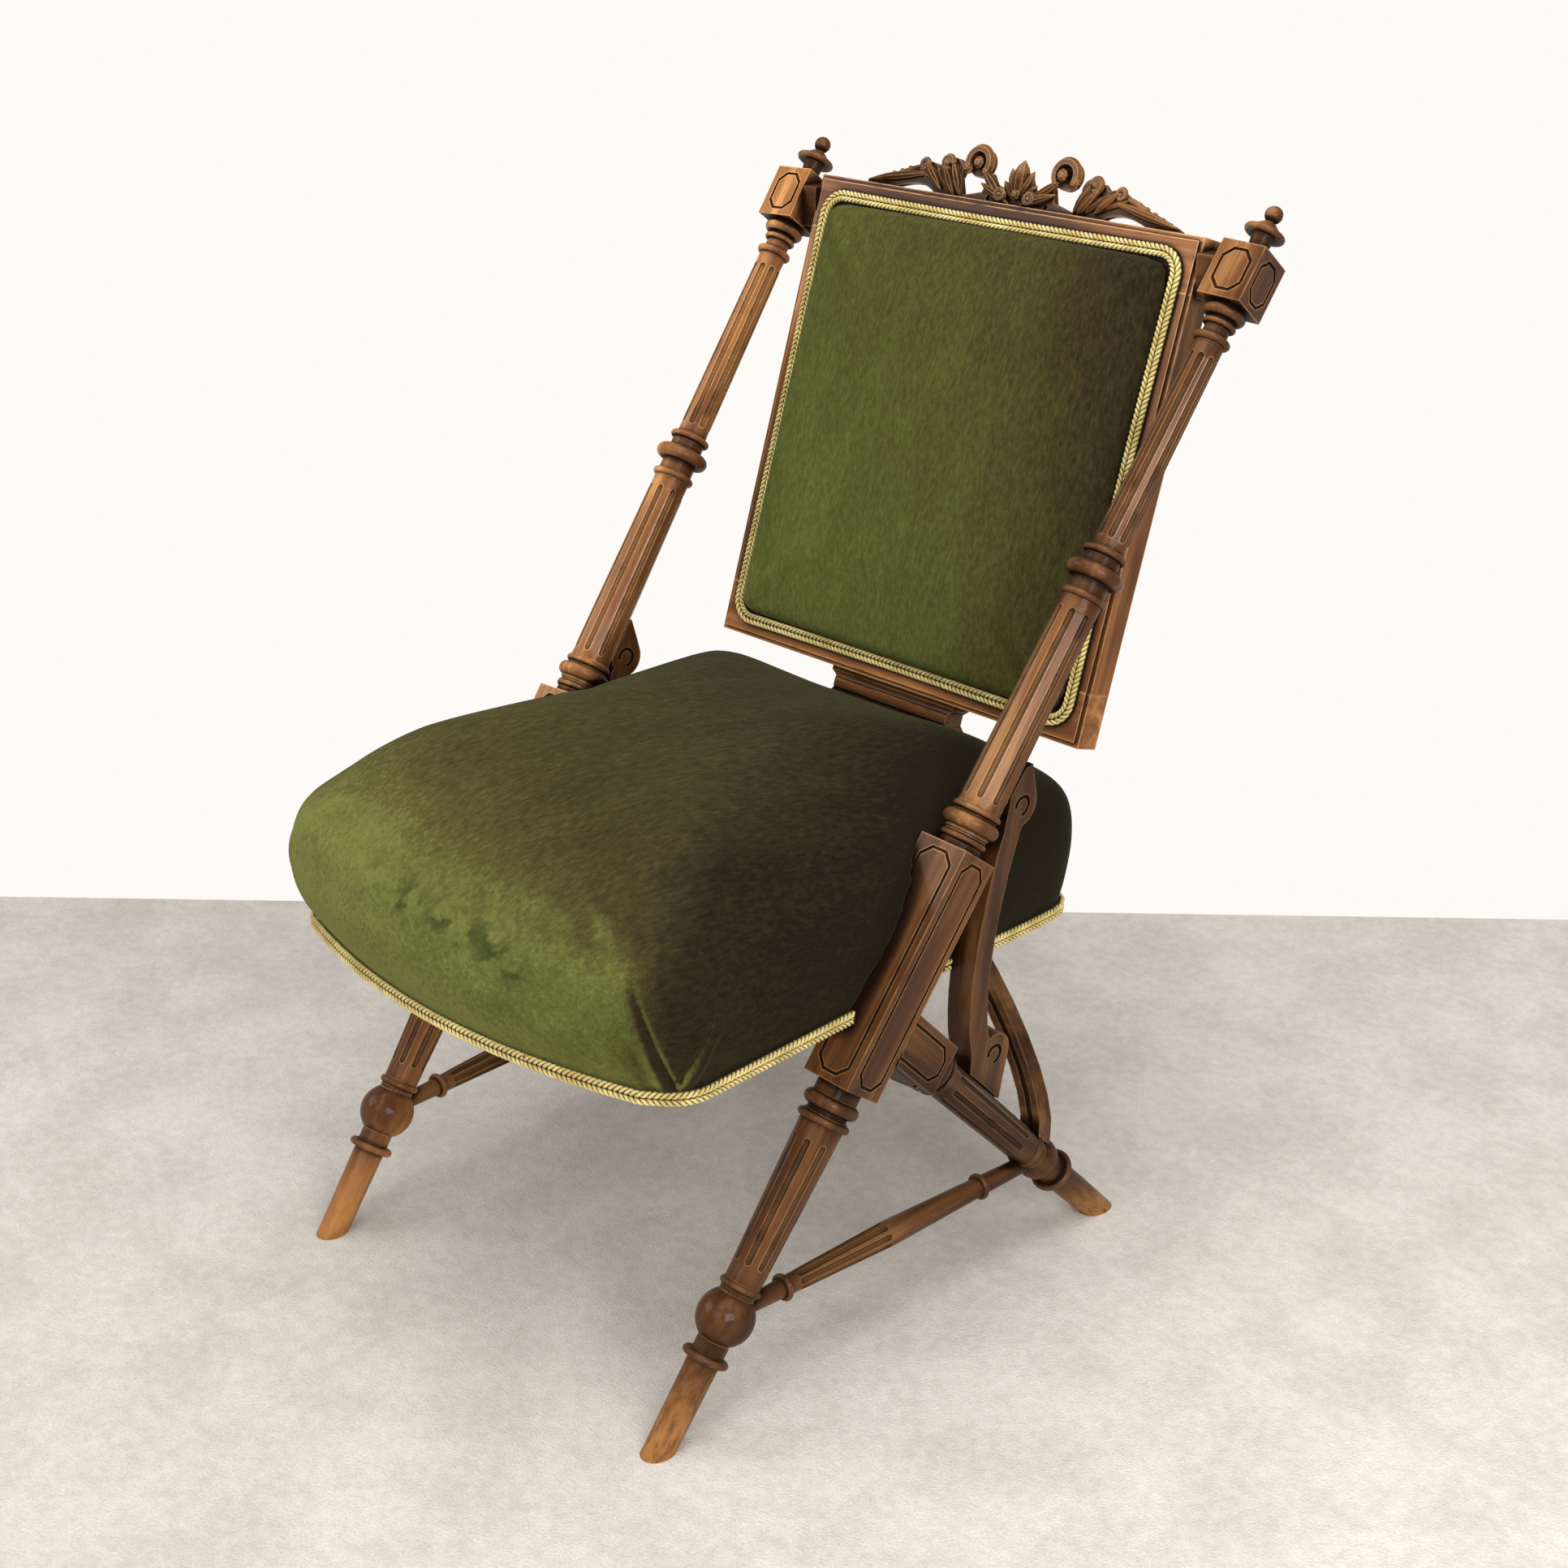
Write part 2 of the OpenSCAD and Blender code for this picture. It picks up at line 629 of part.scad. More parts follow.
// Hessian stretched over the springs and tacked to the rails
module seat_hessian() {
    color(jute) difference() {
        on_seat() translate([0, 0, rail_top]) linear_extrude(hessian_t) seat_plan(-4);
        shoe_space(soft_gap);
    }
}

// Seat cushion: rings of the plan, swelling over the rails and crowned on top
module seat_pad() {
    rise = rail_h + edge_rise;
    levels = [0, (gimp_w + 1) / rise, 0.22, 0.4, roll_at, 0.74, 0.87, 0.96, 1.02];
    grow = [0, 0, 0.45, 0.85, 1, 0.8, 0.2, -0.9, -2.4];
    ahead = [0, 0, 0.45, 0.85, 1, 1, 0.9, 0.7, 0.45];
    mid = [0, (seat_corner_y + seat_back_y) / 2 - 14];
    ring_of = function (g) seat_outline(cover_t + g, 26 + max(0, -g), 24 + max(0, -g), 5);
    n = len(ring_of(0));
    shell = [for (k = [0:8]) let (o = forward(ring_of(roll_out * grow[k]), front_roll * ahead[k]))
        [for (p = o) [p[0], p[1], seat_z - 2 + levels[k] * rise]]];
    dome = [for (q = [0.93, 0.84, 0.7, 0.52, 0.34, 0.16]) [for (p = shell[8])
        [mid[0] + (p[0] - mid[0]) * q, mid[1] + (p[1] - mid[1]) * q,
            seat_z - 2 + 1.02 * rise + crown_rise * (1 - pow(q, 3.2))]]];
    all = concat(shell, dome);
    m = len(all);
    points = concat([for (r = all) for (p = r) p], [[mid[0], mid[1], seat_z - 2 + 1.02 * rise + crown_rise]]);
    faces = concat(
        [for (k = [0:m - 2], i = [0:n - 1]) [k * n + i, (k + 1) * n + i, (k + 1) * n + (i + 1) % n]],
        [for (k = [0:m - 2], i = [0:n - 1]) [k * n + i, (k + 1) * n + (i + 1) % n, k * n + (i + 1) % n]],
        [for (i = [0:n - 1]) [(m - 1) * n + i, m * n, (m - 1) * n + (i + 1) % n]],
        [[for (i = [0:n - 1]) i]]);
    color(velvet) difference() {
        on_seat() polyhedron(points, faces);
        on_seat() translate([0, 0, seat_z - 10])
            linear_extrude(rail_h + 10 + hessian_t + soft_gap) seat_plan(soft_gap);
        for (left = [false, true]) side(left) {
            on_post() translate([-block_w / 2 - soft_gap, -block_w / 2 - soft_gap, block_at - 60])
                cube([far, block_w + 2 * soft_gap, far]);
            translate([bracket_out - bracket_t / 2 - soft_gap, low_eye[0] - 3 * bracket_w, seat_z - rail_h])
                cube([far, 6.5 * bracket_w, far]);
        }
        shoe_space(soft_gap);
    }
}

// Gold braid round the lower edge of the seat, cut where the post blocks stand
module seat_gimp() {
    color(gold) difference() {
        on_seat() translate([0, 0, seat_z - 2]) linear_extrude(gimp_w) difference() {
            seat_plan(cover_t + gimp_t + 1);
            seat_plan(cover_t + soft_gap);
        }
        for (left = [false, true]) side(left) {
            on_post() translate([-block_w / 2 - fit, -block_w / 2 - fit, block_at - 60])
                cube([far, block_w + 2 * fit, far]);
            translate([bracket_out - bracket_t / 2 - fit, low_eye[0] - 3 * bracket_w, seat_z - rail_h])
                cube([far, 6.5 * bracket_w, far]);
        }
    }
}

board_t = 7;
step_w = back_show * 0.3;
step_deep = 2;
rebate_w = 12;

// Slab as large as the back frame, less an inset all round
module back_slab(inset, y, t) {
    translate([inset - back_w / 2, y, inset])
        cube([back_w - 2 * inset, t, back_h - 2 * inset]);
}

// The whole moulded frame: stepped round its front edge, and rebated for the board
module back_ring() {
    difference() {
        back_slab(0, 0, back_t);
        back_slab(back_rail_w, -far / 2, far);
        back_slab(back_rail_w - rebate_w, -1, board_t + 1);
        difference() {
            back_slab(-1, -1, step_deep + 1);
            back_slab(step_w, -2, step_deep + 3);
        }
    }
}

// One member of the frame, between two corners across and up the back
module back_member(low, high) {
    color(walnut) difference() {
        on_back() intersection() {
            back_ring();
            translate([low[0], -far / 2, low[1]]) cube([high[0] - low[0], far, high[1] - low[1]]);
        }
        back_dowel_pair(fit);
    }
}

// The stiles butt between the rails, and the step runs on across the joints
module back_stile(left) {
    back_member([left ? -far : 0, back_rail_w], [left ? 0 : far, back_h - back_rail_w]);
}

module back_rail(top) {
    back_member([-far, top ? back_h - back_rail_w : -far], [far, top ? back_h + far : back_rail_w]);
}

// Small blocks that hold the back frame off the top blocks
spacer_h = 34;
spacer_t = 24;
module back_spacer(left) {
    mirror([left ? 1 : 0, 0, 0]) difference() {
        translate([back_w / 2, top_mid[0] - spacer_t / 2, top_mid[1] - spacer_h / 2])
            cube([spacer_w + top_block_w, spacer_t, spacer_h]);
        translate([half, 0, 0]) rotate([0, side_splay, 0]) on_post()
            translate([-top_block_w / 2, -far / 2, 0]) cube([far, far, far]);
    }
}
module back_spacers() {
    color(walnut) difference() {
        union() for (left = [false, true]) back_spacer(left);
        back_dowel_pair(fit);
    }
}

// Dowels from the stiles through the spacers into the top blocks
dowel_d = 8;
dowel_l = 36;
module back_dowel_pair(g) {
    for (x = [-1, 1]) translate([x * (back_w / 2 - 12 - g), top_mid[0], top_mid[1]])
        rotate([0, x * 90, 0]) cylinder(d = dowel_d + 2 * g, h = dowel_l + 2 * g);
}
module back_dowels() {
    color(beech) back_dowel_pair(0);
}

// Thin board let into the rebate behind the back pad
pad_half = back_w / 2 - back_show - gimp_w;
module back_board() {
    inner = back_w / 2 - back_rail_w + 12 - fit;
    color(beech) on_back() translate([-inner, 0, back_h / 2 - inner - (back_h - back_w) / 2])
        cube([2 * inner, board_t, 2 * inner + back_h - back_w]);
}

// Back cushion: square with round corners, drawn in at the trim and crowned
module back_pad() {
    r = 14;
    hw = pad_half - 1.2 - soft_gap;
    hh = hw + (back_h - back_w) / 2;
    levels = [[0, 0], [5, -0.5], [10, 3], [14, 9], [17.5, 20]];
    top_q = [0.82, 0.6, 0.36, 0.14];
    corner = function (g, cx, cz, a0) [for (a = [0:22.5:90]) [cx * (hw - r), cz * (hh - r)]
        + (r - min(g, 10)) * [cos(a + a0), sin(a + a0)] - max(0, g - 10) * [cx, cz]];
    bow = function (i) 1.2 * (1 - pow(i / 4 - 1, 2));
    ring_of = function (g) concat(corner(g, 1, 1, 0),
        [for (i = [1:7]) [(hw - g) * (1 - i / 4), hh - g + bow(i)]],
        corner(g, -1, 1, 90), [for (i = [1:7]) [-(hw - g) - bow(i), (hh - g) * (1 - i / 4)]],
        corner(g, -1, -1, 180), [for (i = [1:7]) [-(hw - g) * (1 - i / 4), -(hh - g) - bow(i)]],
        corner(g, 1, -1, 270), [for (i = [1:7]) [hw - g + bow(i), -(hh - g) * (1 - i / 4)]]);
    n = len(ring_of(0));
    base = levels[4];
    shell = [for (l = levels) [for (p = ring_of(l[1])) [p[0], -l[0] * (back_swell - 6) / 18, p[1]]]];
    dome = [for (q = top_q)
        [for (p = ring_of(base[1])) [p[0] * q, -(back_swell - 6.5) - 6 * (1 - q * q), p[1] * q]]];
    all = concat(shell, dome);
    m = len(all);
    points = concat([for (r = all) for (p = r) p], [[0, -back_swell, 0]]);
    faces = concat(
        [for (k = [0:m - 2], i = [0:n - 1]) [k * n + i, (k + 1) * n + i, (k + 1) * n + (i + 1) % n]],
        [for (k = [0:m - 2], i = [0:n - 1]) [k * n + i, (k + 1) * n + (i + 1) % n, k * n + (i + 1) % n]],
        [for (i = [0:n - 1]) [(m - 1) * n + i, m * n, (m - 1) * n + (i + 1) % n]],
        [[for (i = [0:n - 1]) i]]);
    color(velvet) on_back() translate([0, -soft_gap, back_h / 2]) polyhedron(points, faces);
}

// Gold braid round the back pad
module rounded_square(hw, hh, r) {
    for (a = [0, 1]) square([2 * (hw - a * r), 2 * (hh - (1 - a) * r)], center = true);
    for (x = [-1, 1], y = [-1, 1]) translate([x * (hw - r), y * (hh - r)]) circle(r = r);
}

module back_gimp() {
    hw = back_w / 2 - back_show;
    hh = back_h / 2 - back_show;
    color(gold) on_back() translate([0, 0, back_h / 2]) rotate([90, 0, 0]) linear_extrude(gimp_t)
        difference() {
            rounded_square(hw, hh, 18);
            rounded_square(hw - gimp_w + soft_gap, hh - gimp_w + soft_gap, 13);
        }
}

// Velvet-covered outside back, tacked over the rear of the frame
module back_cover() {
    hw = back_w / 2 - 12;
    hh = back_h / 2 - 12;
    color(velvet) on_back() translate([0, back_t, back_h / 2]) rotate([-90, 0, 0]) linear_extrude(3)
        rounded_square(hw, hh, 8);
}

// Long pointed leaf of the carving, round in section, lying at a turn in the
// plane of the crest with its middle at a point and a height
module leaf(at, turn, l, d, up) {
    r = (l * l / 4 + d * d / 4) / d;
    rim = [for (i = [-3:3]) let (y = l / 2 * i / 3) [max(0, sqrt(r * r - y * y) - r + d / 2), y]];
    translate([at[0], at[1], up]) rotate([0, 0, turn - 90]) rotate([-90, 0, 0])
        hull() rotate_extrude($fn = 8) polygon(rim);
}

// Strap bent round an eye, round in section, from one angle to another
module curl(at, r, d, a0, a1, up) {
    translate([at[0], at[1], up]) rotate([0, 0, a0]) rotate_extrude(angle = a1 - a0, $fn = 22)
        translate([r, 0]) circle(d = d, $fn = 6);
    for (a = [a0, a1]) button([at[0] + r * cos(a), at[1] + r * sin(a)], d, up);
}

module button(at, d, up) {
    translate([at[0], at[1], up]) sphere(d = d, $fn = 8);
}

// The sawn and pierced board behind the relief, right half
crest_eye = [crest_scroll_x, 31];
module crest_board() {
    ground = crest_t * 0.45;
    linear_extrude(ground) difference() {
        union() {
            polygon(concat([[0, 0], [0, 30]], curve([8, 26], [14, 12], [22, 8], [32, 24], 5),
                [[38, 8], [58, 3]], curve([60, 8], [66, 22], [70, 33], [82, 29], 5),
                curve([88, 24], [94, 26], [100, 28], [108, 22], 4),
                curve([114, 17], [126, 13], [146, 8], [crest_half, 3], 4), [[crest_half, 0]]));
            translate(crest_eye) circle(r = crest_scroll_r - 3, $fn = 32);
            translate([72, 22]) circle(r = 10, $fn = 24);
        }
        // long low opening under the tail leaf, and a drilled eye by the stem
        polygon(concat([[87, -1]], curve([87, 0], [96, 9.5], [116, 7.5], [134, 0], 7), [[134, -1]]));
        translate([30, 4]) circle(r = 2.4, $fn = 16);
    }
}

module crest_carving() {
    t = crest_t;
    r = crest_scroll_r - 4.2;
    // big C-scroll with its eye, and the strap from it down to the volute
    curl(crest_eye, r, 8.4, -32, 218, t * 0.55);
    button(crest_eye + [-1.5, -0.5], 11, t * 0.72);
    button(crest_eye + [r * cos(-32) + 1.5, r * sin(-32)], 10, t * 0.6);
    leaf([26, 14], 40, 44, 10, t * 0.5);
    leaf([22, 8], 22, 38, 8, t * 0.62);
    curl([15, 8], 4, 5, -200, 120, t * 0.75);
    button([15, 8], 5, t * 0.8);
    // first leaf: two fingers that rise from the rail into a rolled tip
    leaf([67, 16], 62, 36, 9.5, t * 0.5);
    leaf([73, 13], 55, 34, 9, t * 0.62);
    leaf([79, 12], 40, 30, 8, t * 0.45);
    curl([77, 27], 4.6, 6, -100, 170, t * 0.6);
    button([77, 27], 6.5, t * 0.72);
    // second leaf
    leaf([91, 15], 44, 32, 8.5, t * 0.58);
    leaf([97, 14], 22, 30, 7, t * 0.45);
    curl([102, 23], 3.6, 5, -110, 160, t * 0.55);
    button([101.4, 22.6], 7, t * 0.48);
    // tail: long fingers that run out along the rail, with a beaded upper edge
    leaf([127, 10.5], -11, 74, 8.5, t * 0.5);
    leaf([120, 15.5], -22, 46, 7, t * 0.36);
    leaf([146, 4.5], -4, 38, 6.5, t * 0.36);
    for (i = [0:4]) button([119 + 8.5 * i, 17 - 2.7 * i], 6.4 - 0.7 * i, t * 0.4);
    // half of the middle bud's leaves
    leaf([6.5, 18], 68, 28, 9, t * 0.45);
    leaf([10, 12], 48, 22, 7, t * 0.4);
}

// Carved crest: pierced board with the scrolls and leaves worked in relief
module crest() {
    color(walnut) on_back() translate([0, back_t, back_h]) rotate([90, 0, 0]) intersection() {
        union() {
            for (x = [0, 1]) mirror([x, 0, 0]) {
                crest_board();
                crest_carving();
            }
            leaf([0, 22], 90, 33, 15, crest_t * 0.5);
            button([0, 10], 10, crest_t * 0.62);
        }
        translate([-crest_half, 0, 0]) cube([2 * crest_half, 60, 2 * crest_t]);
    }
}

// Moulded shoe between the back rail of the seat and the back frame
shoe_set = 6;
shoe_drop = (back_z - rail_top) / cos(back_lean) + 12;
module shoe_profile(g) {
    polygon([[-shoe_half - g, 1], [-shoe_half - g, -5], [-shoe_half + 5 - g, -9], [-shoe_half + 5 - g, -18],
        [-shoe_half - g, -23], [-shoe_half - g, -shoe_drop - 20], [shoe_half + g, -shoe_drop - 20],
        [shoe_half + g, -23], [shoe_half - 5 + g, -18], [shoe_half - 5 + g, -9], [shoe_half + g, -5],
        [shoe_half + g, 1]]);
}
module shoe_space(g) {
    on_back() translate([-shoe_half - g, shoe_set - g, -shoe_drop - 20])
        cube([2 * shoe_half + 2 * g, shoe_t + 2 * g + 60, shoe_drop + 20]);
}
module shoe() {
    color(walnut) difference() {
        on_back() translate([0, shoe_set + shoe_t, 0]) rotate([90, 0, 0]) linear_extrude(shoe_t)
            shoe_profile(0);
        on_back() translate([-far / 2, -far / 2, 0]) cube([far, far, 200]);
        on_back() for (z = [-7, -20]) translate([-far / 2, shoe_set - 1.5, z]) rotate([0, 90, 0])
            cylinder(r = 3.2, h = far);
        on_seat() translate([-far / 2, -far / 2, 0]) cube([far, far, rail_top]);
    }
}

translate([0, -y_mid, 0]) {
    side_post(true);  // side_post_left
    side_post(false);  // side_post_right
    finial(true);  // finial_left
    finial(false);  // finial_right
    rear_leg(true);  // rear_leg_left
    rear_leg(false);  // rear_leg_right
    side_bracket(true);  // side_bracket_left
    side_bracket(false);  // side_bracket_right
    side_stretcher(true);  // side_stretcher_left
    side_stretcher(false);  // side_stretcher_right
    rear_arch();
    seat_rail_front();
    seat_rail_back();
    seat_rail_side(true);  // seat_rail_left
    seat_rail_side(false);  // seat_rail_right
    seat_corner_blocks();
    seat_webbing();
    seat_springs();
    seat_hessian();
    seat_pad();
    seat_gimp();
    back_rail(true);  // back_rail_top
    back_rail(false);  // back_rail_bottom
    back_stile(true);  // back_stile_left
    back_stile(false);  // back_stile_right
    back_spacers();
    back_dowels();
    back_board();
    back_pad();
    back_gimp();
    back_cover();
    crest();
    shoe();
}
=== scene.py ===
import bpy
import math
import bmesh
import numpy
from mathutils import Matrix, Vector
from mathutils.bvhtree import BVHTree


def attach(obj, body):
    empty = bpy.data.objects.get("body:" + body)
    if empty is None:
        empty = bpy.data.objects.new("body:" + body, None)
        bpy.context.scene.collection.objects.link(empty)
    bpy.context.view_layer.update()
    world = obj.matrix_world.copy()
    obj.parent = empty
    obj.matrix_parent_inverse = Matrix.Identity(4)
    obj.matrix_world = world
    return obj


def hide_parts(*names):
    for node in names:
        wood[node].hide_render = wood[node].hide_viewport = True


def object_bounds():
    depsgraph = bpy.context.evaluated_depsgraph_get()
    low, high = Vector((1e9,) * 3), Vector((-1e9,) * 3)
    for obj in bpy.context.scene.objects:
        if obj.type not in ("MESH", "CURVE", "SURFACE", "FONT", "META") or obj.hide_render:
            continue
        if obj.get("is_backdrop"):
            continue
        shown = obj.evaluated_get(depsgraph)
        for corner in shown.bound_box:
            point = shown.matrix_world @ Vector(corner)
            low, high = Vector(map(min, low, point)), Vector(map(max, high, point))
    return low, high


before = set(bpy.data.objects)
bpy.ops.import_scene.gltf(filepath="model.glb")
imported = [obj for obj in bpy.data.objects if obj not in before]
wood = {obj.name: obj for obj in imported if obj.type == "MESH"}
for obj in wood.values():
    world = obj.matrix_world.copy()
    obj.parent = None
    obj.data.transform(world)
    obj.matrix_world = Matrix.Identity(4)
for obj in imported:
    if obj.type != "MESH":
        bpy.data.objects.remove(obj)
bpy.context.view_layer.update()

# The photographer stood to the front right of the chair and looked down on it.
# Place, direction and lens come from the turned rings, feet and back frame.
FRONT_FEET_Y = -0.286821
yaw, pitch, roll = 0.772998, 0.410970, 0.006243
lens_px = 2955.51
photo_px = 1932
eye = Vector((1.247943, -0.947165 + FRONT_FEET_Y, 1.146538))
ahead = Vector((-math.sin(yaw) * math.cos(pitch), math.cos(yaw) * math.cos(pitch), -math.sin(pitch)))
level = Vector((math.cos(yaw), math.sin(yaw), 0))
upward = level.cross(ahead)
rightward = math.cos(roll) * level + math.sin(roll) * upward
upward = math.cos(roll) * upward - math.sin(roll) * level
camera = bpy.data.objects.new("camera", bpy.data.cameras.new("camera"))
bpy.context.scene.collection.objects.link(camera)
camera.data.sensor_width = 36
camera.data.lens = 36 * lens_px / photo_px
camera.data.clip_end = 50
camera.matrix_world = Matrix.Translation(eye) @ Matrix((rightward, upward, -ahead)).transposed().to_4x4()
bpy.context.scene.camera = camera
bpy.context.scene.view_settings.view_transform = "Standard"


def seen(x, y, tree):
    """The point of a surface that shows at a pixel of the photograph."""
    half = photo_px / 2
    way = ahead * lens_px + rightward * (x - half) - upward * (y - half)
    return tree.ray_cast(eye, way.normalized())[0]


# Helpers for the materials: a shader value that can be added up, a material with
# its nodes, and a new piece or a material put on one.


class Wire:
    """A shader value. Sums, products and so on of wires add the nodes for them."""

    def __init__(self, finish, socket):
        self.finish = finish
        self.socket = socket

    def sum_up(self, how, *others):
        return self.finish.node("ShaderNodeMath", {"operation": how}, {n: v for n, v in enumerate(others)})

    def __add__(self, other):
        return self.sum_up("ADD", self, other)

    def __radd__(self, other):
        return self.sum_up("ADD", other, self)

    def __sub__(self, other):
        return self.sum_up("SUBTRACT", self, other)

    def __rsub__(self, other):
        return self.sum_up("SUBTRACT", other, self)

    def __mul__(self, other):
        return self.sum_up("MULTIPLY", self, other)

    def __rmul__(self, other):
        return self.sum_up("MULTIPLY", other, self)

    def __pow__(self, other):
        return self.sum_up("POWER", self, other)

    def least(self, other):
        return self.sum_up("MINIMUM", self, other)

    def most(self, other):
        return self.sum_up("MAXIMUM", self, other)

    def sine(self):
        return self.sum_up("SINE", self)

    def step(self, low, high):
        """0 below low, 1 above high, smooth between; low may be the larger one."""
        turned = low > high
        wire = self.finish.node("ShaderNodeMapRange", {"interpolation_type": "SMOOTHSTEP"},
                                {"Value": self, "From Min": min(low, high), "From Max": max(low, high)})
        return 1 - wire if turned else wire


class Finish:
    """A material with one Principled shader, filled in by name."""

    def __init__(self, name, **settings):
        self.material = bpy.data.materials.new(name)
        self.material.use_nodes = True
        self.tree = self.material.node_tree
        self.shader = self.tree.nodes["Principled BSDF"]
        self.place = self.node("ShaderNodeTexCoord", out="Object")
        for key, value in settings.items():
            self.set(key.replace("_", " "), value)

    def node(self, kind, settings=None, sockets=None, out=0):
        made = self.tree.nodes.new(kind)
        for key, value in (settings or {}).items():
            if key == "stops":
                ramp = made.color_ramp.elements
                for _ in value[2:]:
                    ramp.new(0.5)
                for stop, (at, colour) in zip(ramp, value):
                    stop.position = at
                    stop.color = (*colour, 1)
            else:
                setattr(made, key, value)
        for key, value in (sockets or {}).items():
            self.feed(made.inputs[key], value)
        return Wire(self, made.outputs[out])

    def feed(self, socket, value):
        if isinstance(value, Wire):
            self.tree.links.new(value.socket, socket)
        elif socket.type == "RGBA" and len(value) == 3:
            socket.default_value = (*value, 1)
        else:
            socket.default_value = value

    def set(self, key, value):
        self.feed(self.shader.inputs[key], value)

    def mix(self, share, first, second):
        """A colour between two, by a share from 0 to 1."""
        return self.node("ShaderNodeMix", {"data_type": "RGBA"}, {0: share, 6: first, 7: second}, out=2)

    def shade(self, colour, amount):
        """A colour times a number that may vary."""
        return self.node("ShaderNodeVectorMath", {"operation": "SCALE"}, {0: colour, "Scale": amount})

    def along(self, direction, point=None):
        """How far the surface lies along a direction, in metres."""
        return self.node("ShaderNodeVectorMath", {"operation": "DOT_PRODUCT"},
                         {0: point or self.place, 1: tuple(direction)}, out="Value")

    def vector(self, x, y, z):
        return self.node("ShaderNodeCombineXYZ", None, {0: x, 1: y, 2: z})

    def noise(self, where, scale, detail=3.0, rough=0.5):
        return self.node("ShaderNodeTexNoise", None,
                         {"Vector": where, "Scale": scale, "Detail": detail, "Roughness": rough})

    def near(self, centre, radius):
        """1 at a point, fading to 0 at a radius."""
        away = self.node("ShaderNodeVectorMath", {"operation": "DISTANCE"}, {0: self.place, 1: tuple(centre)},
                         out="Value")
        return away.step(radius, 0.0)

    def beside(self, start, end):
        """How far the surface lies from a line between two points, and the share of the way along it."""
        run = end - start
        t = self.along(run / run.length_squared) - start.dot(run) / run.length_squared
        inside = t.most(0.0).least(1.0)
        axes = ((1, 0, 0), (0, 1, 0), (0, 0, 1))
        foot = [self.along(axis) - (inside * run[n] + start[n]) for n, axis in enumerate(axes)]
        return (foot[0] * foot[0] + foot[1] * foot[1] + foot[2] * foot[2]) ** 0.5, t

    def bump(self, height, depth, under=None):
        sockets = {"Height": height, "Distance": depth, "Strength": 1.0}
        if under:
            sockets["Normal"] = under
        return self.node("ShaderNodeBump", None, sockets)

    def recess(self, reach):
        """1 in the open, less in hollows narrower than the reach."""
        return self.node("ShaderNodeAmbientOcclusion", {"samples": 8}, {"Distance": reach}, out="AO")

    def facing(self, direction):
        """How squarely the surface faces a direction, from -1 to 1."""
        return self.along(Vector(direction).normalized(), self.node("ShaderNodeNewGeometry", out="Normal"))


def new_piece(name, vertices, faces):
    mesh = bpy.data.meshes.new(name)
    mesh.from_pydata([tuple(v) for v in vertices], [], faces)
    mesh.validate()
    mesh.polygons.foreach_set("use_smooth", [True] * len(mesh.polygons))
    piece = bpy.data.objects.new(name, mesh)
    bpy.context.scene.collection.objects.link(piece)
    return piece


def dress(piece, finish):
    piece.data.materials.clear()
    piece.data.materials.append(finish.material)


# Pale grey carpet up to the foot of a white wall. The wall's foot runs square
# to the view, and past that line the ground is as white as the wall.
carpet = Finish("pale_carpet", Roughness=1.0)
wall_way = Vector((-0.6845, 0.7290, 0))
past_wall = carpet.along(wall_way).step(0.5440, 0.5450)
tufts = carpet.noise(carpet.place, 420, 3, 0.7)
clouds = carpet.noise(carpet.place, 9, 5, 0.65)
flecks = carpet.noise(carpet.place, 90, 3, 0.6)
carpet_colour = carpet.mix(clouds.step(0.36, 0.64) * 0.55 + flecks.step(0.3, 0.7) * 0.45,
                           (0.575, 0.530, 0.478), (0.735, 0.688, 0.630))
# Painted shade darkens the carpet towards the wall; painted light brightens it to the right and darkens it at
# the front left.
painted_wall_shade = carpet.along(wall_way).step(-0.3, 0.55)
right_way = carpet.along((0.7290, 0.6845, 0))
lit = 0.15 * right_way.step(0.10, 0.50) - 0.06 * right_way.step(-0.10, -0.50)
carpet.set("Base Color", carpet.shade(carpet_colour, 0.80 + 0.44 * tufts + lit - 0.09 * painted_wall_shade))
carpet.set("Normal", carpet.bump(tufts, 0.0016))
wall_white = (0.985, 0.962, 0.930)
glow = carpet.node("ShaderNodeEmission", None, {"Color": wall_white, "Strength": 1.0})
to_eye = carpet.node("ShaderNodeLightPath", out="Is Camera Ray")
shiny = carpet.node("ShaderNodeLightPath", out="Is Glossy Ray")
ground = carpet.node("ShaderNodeMixShader", None,
                     {0: past_wall * to_eye.most(shiny), 1: Wire(carpet, carpet.shader.outputs[0]), 2: glow})
carpet.feed(carpet.tree.nodes["Material Output"].inputs["Surface"], ground)
floor = new_piece("floor", [(-6, -6, 0), (6, -6, 0), (6, 6, 0), (-6, 6, 0)], [(0, 1, 2, 3)])
dress(floor, carpet)
floor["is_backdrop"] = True

# Soft daylight from windows on both sides and above, with white walls round it.
world = bpy.data.worlds.new("daylight")
bpy.context.scene.world = world
world.use_nodes = True
sky = world.node_tree
path = sky.nodes.new("ShaderNodeLightPath")
bright = sky.nodes.new("ShaderNodeMapRange")
seen_ray = sky.nodes.new("ShaderNodeMath")
seen_ray.operation = "MAXIMUM"
sky.links.new(path.outputs["Is Camera Ray"], seen_ray.inputs[0])
sky.links.new(path.outputs["Is Transmission Ray"], seen_ray.inputs[1])
bright.inputs["To Min"].default_value = 0.33
bright.inputs["To Max"].default_value = 1.0
sky.links.new(seen_ray.outputs[0], bright.inputs["Value"])
sky.nodes["Background"].inputs["Color"].default_value = (*wall_white, 1)
sky.links.new(bright.outputs[0], sky.nodes["Background"].inputs["Strength"])


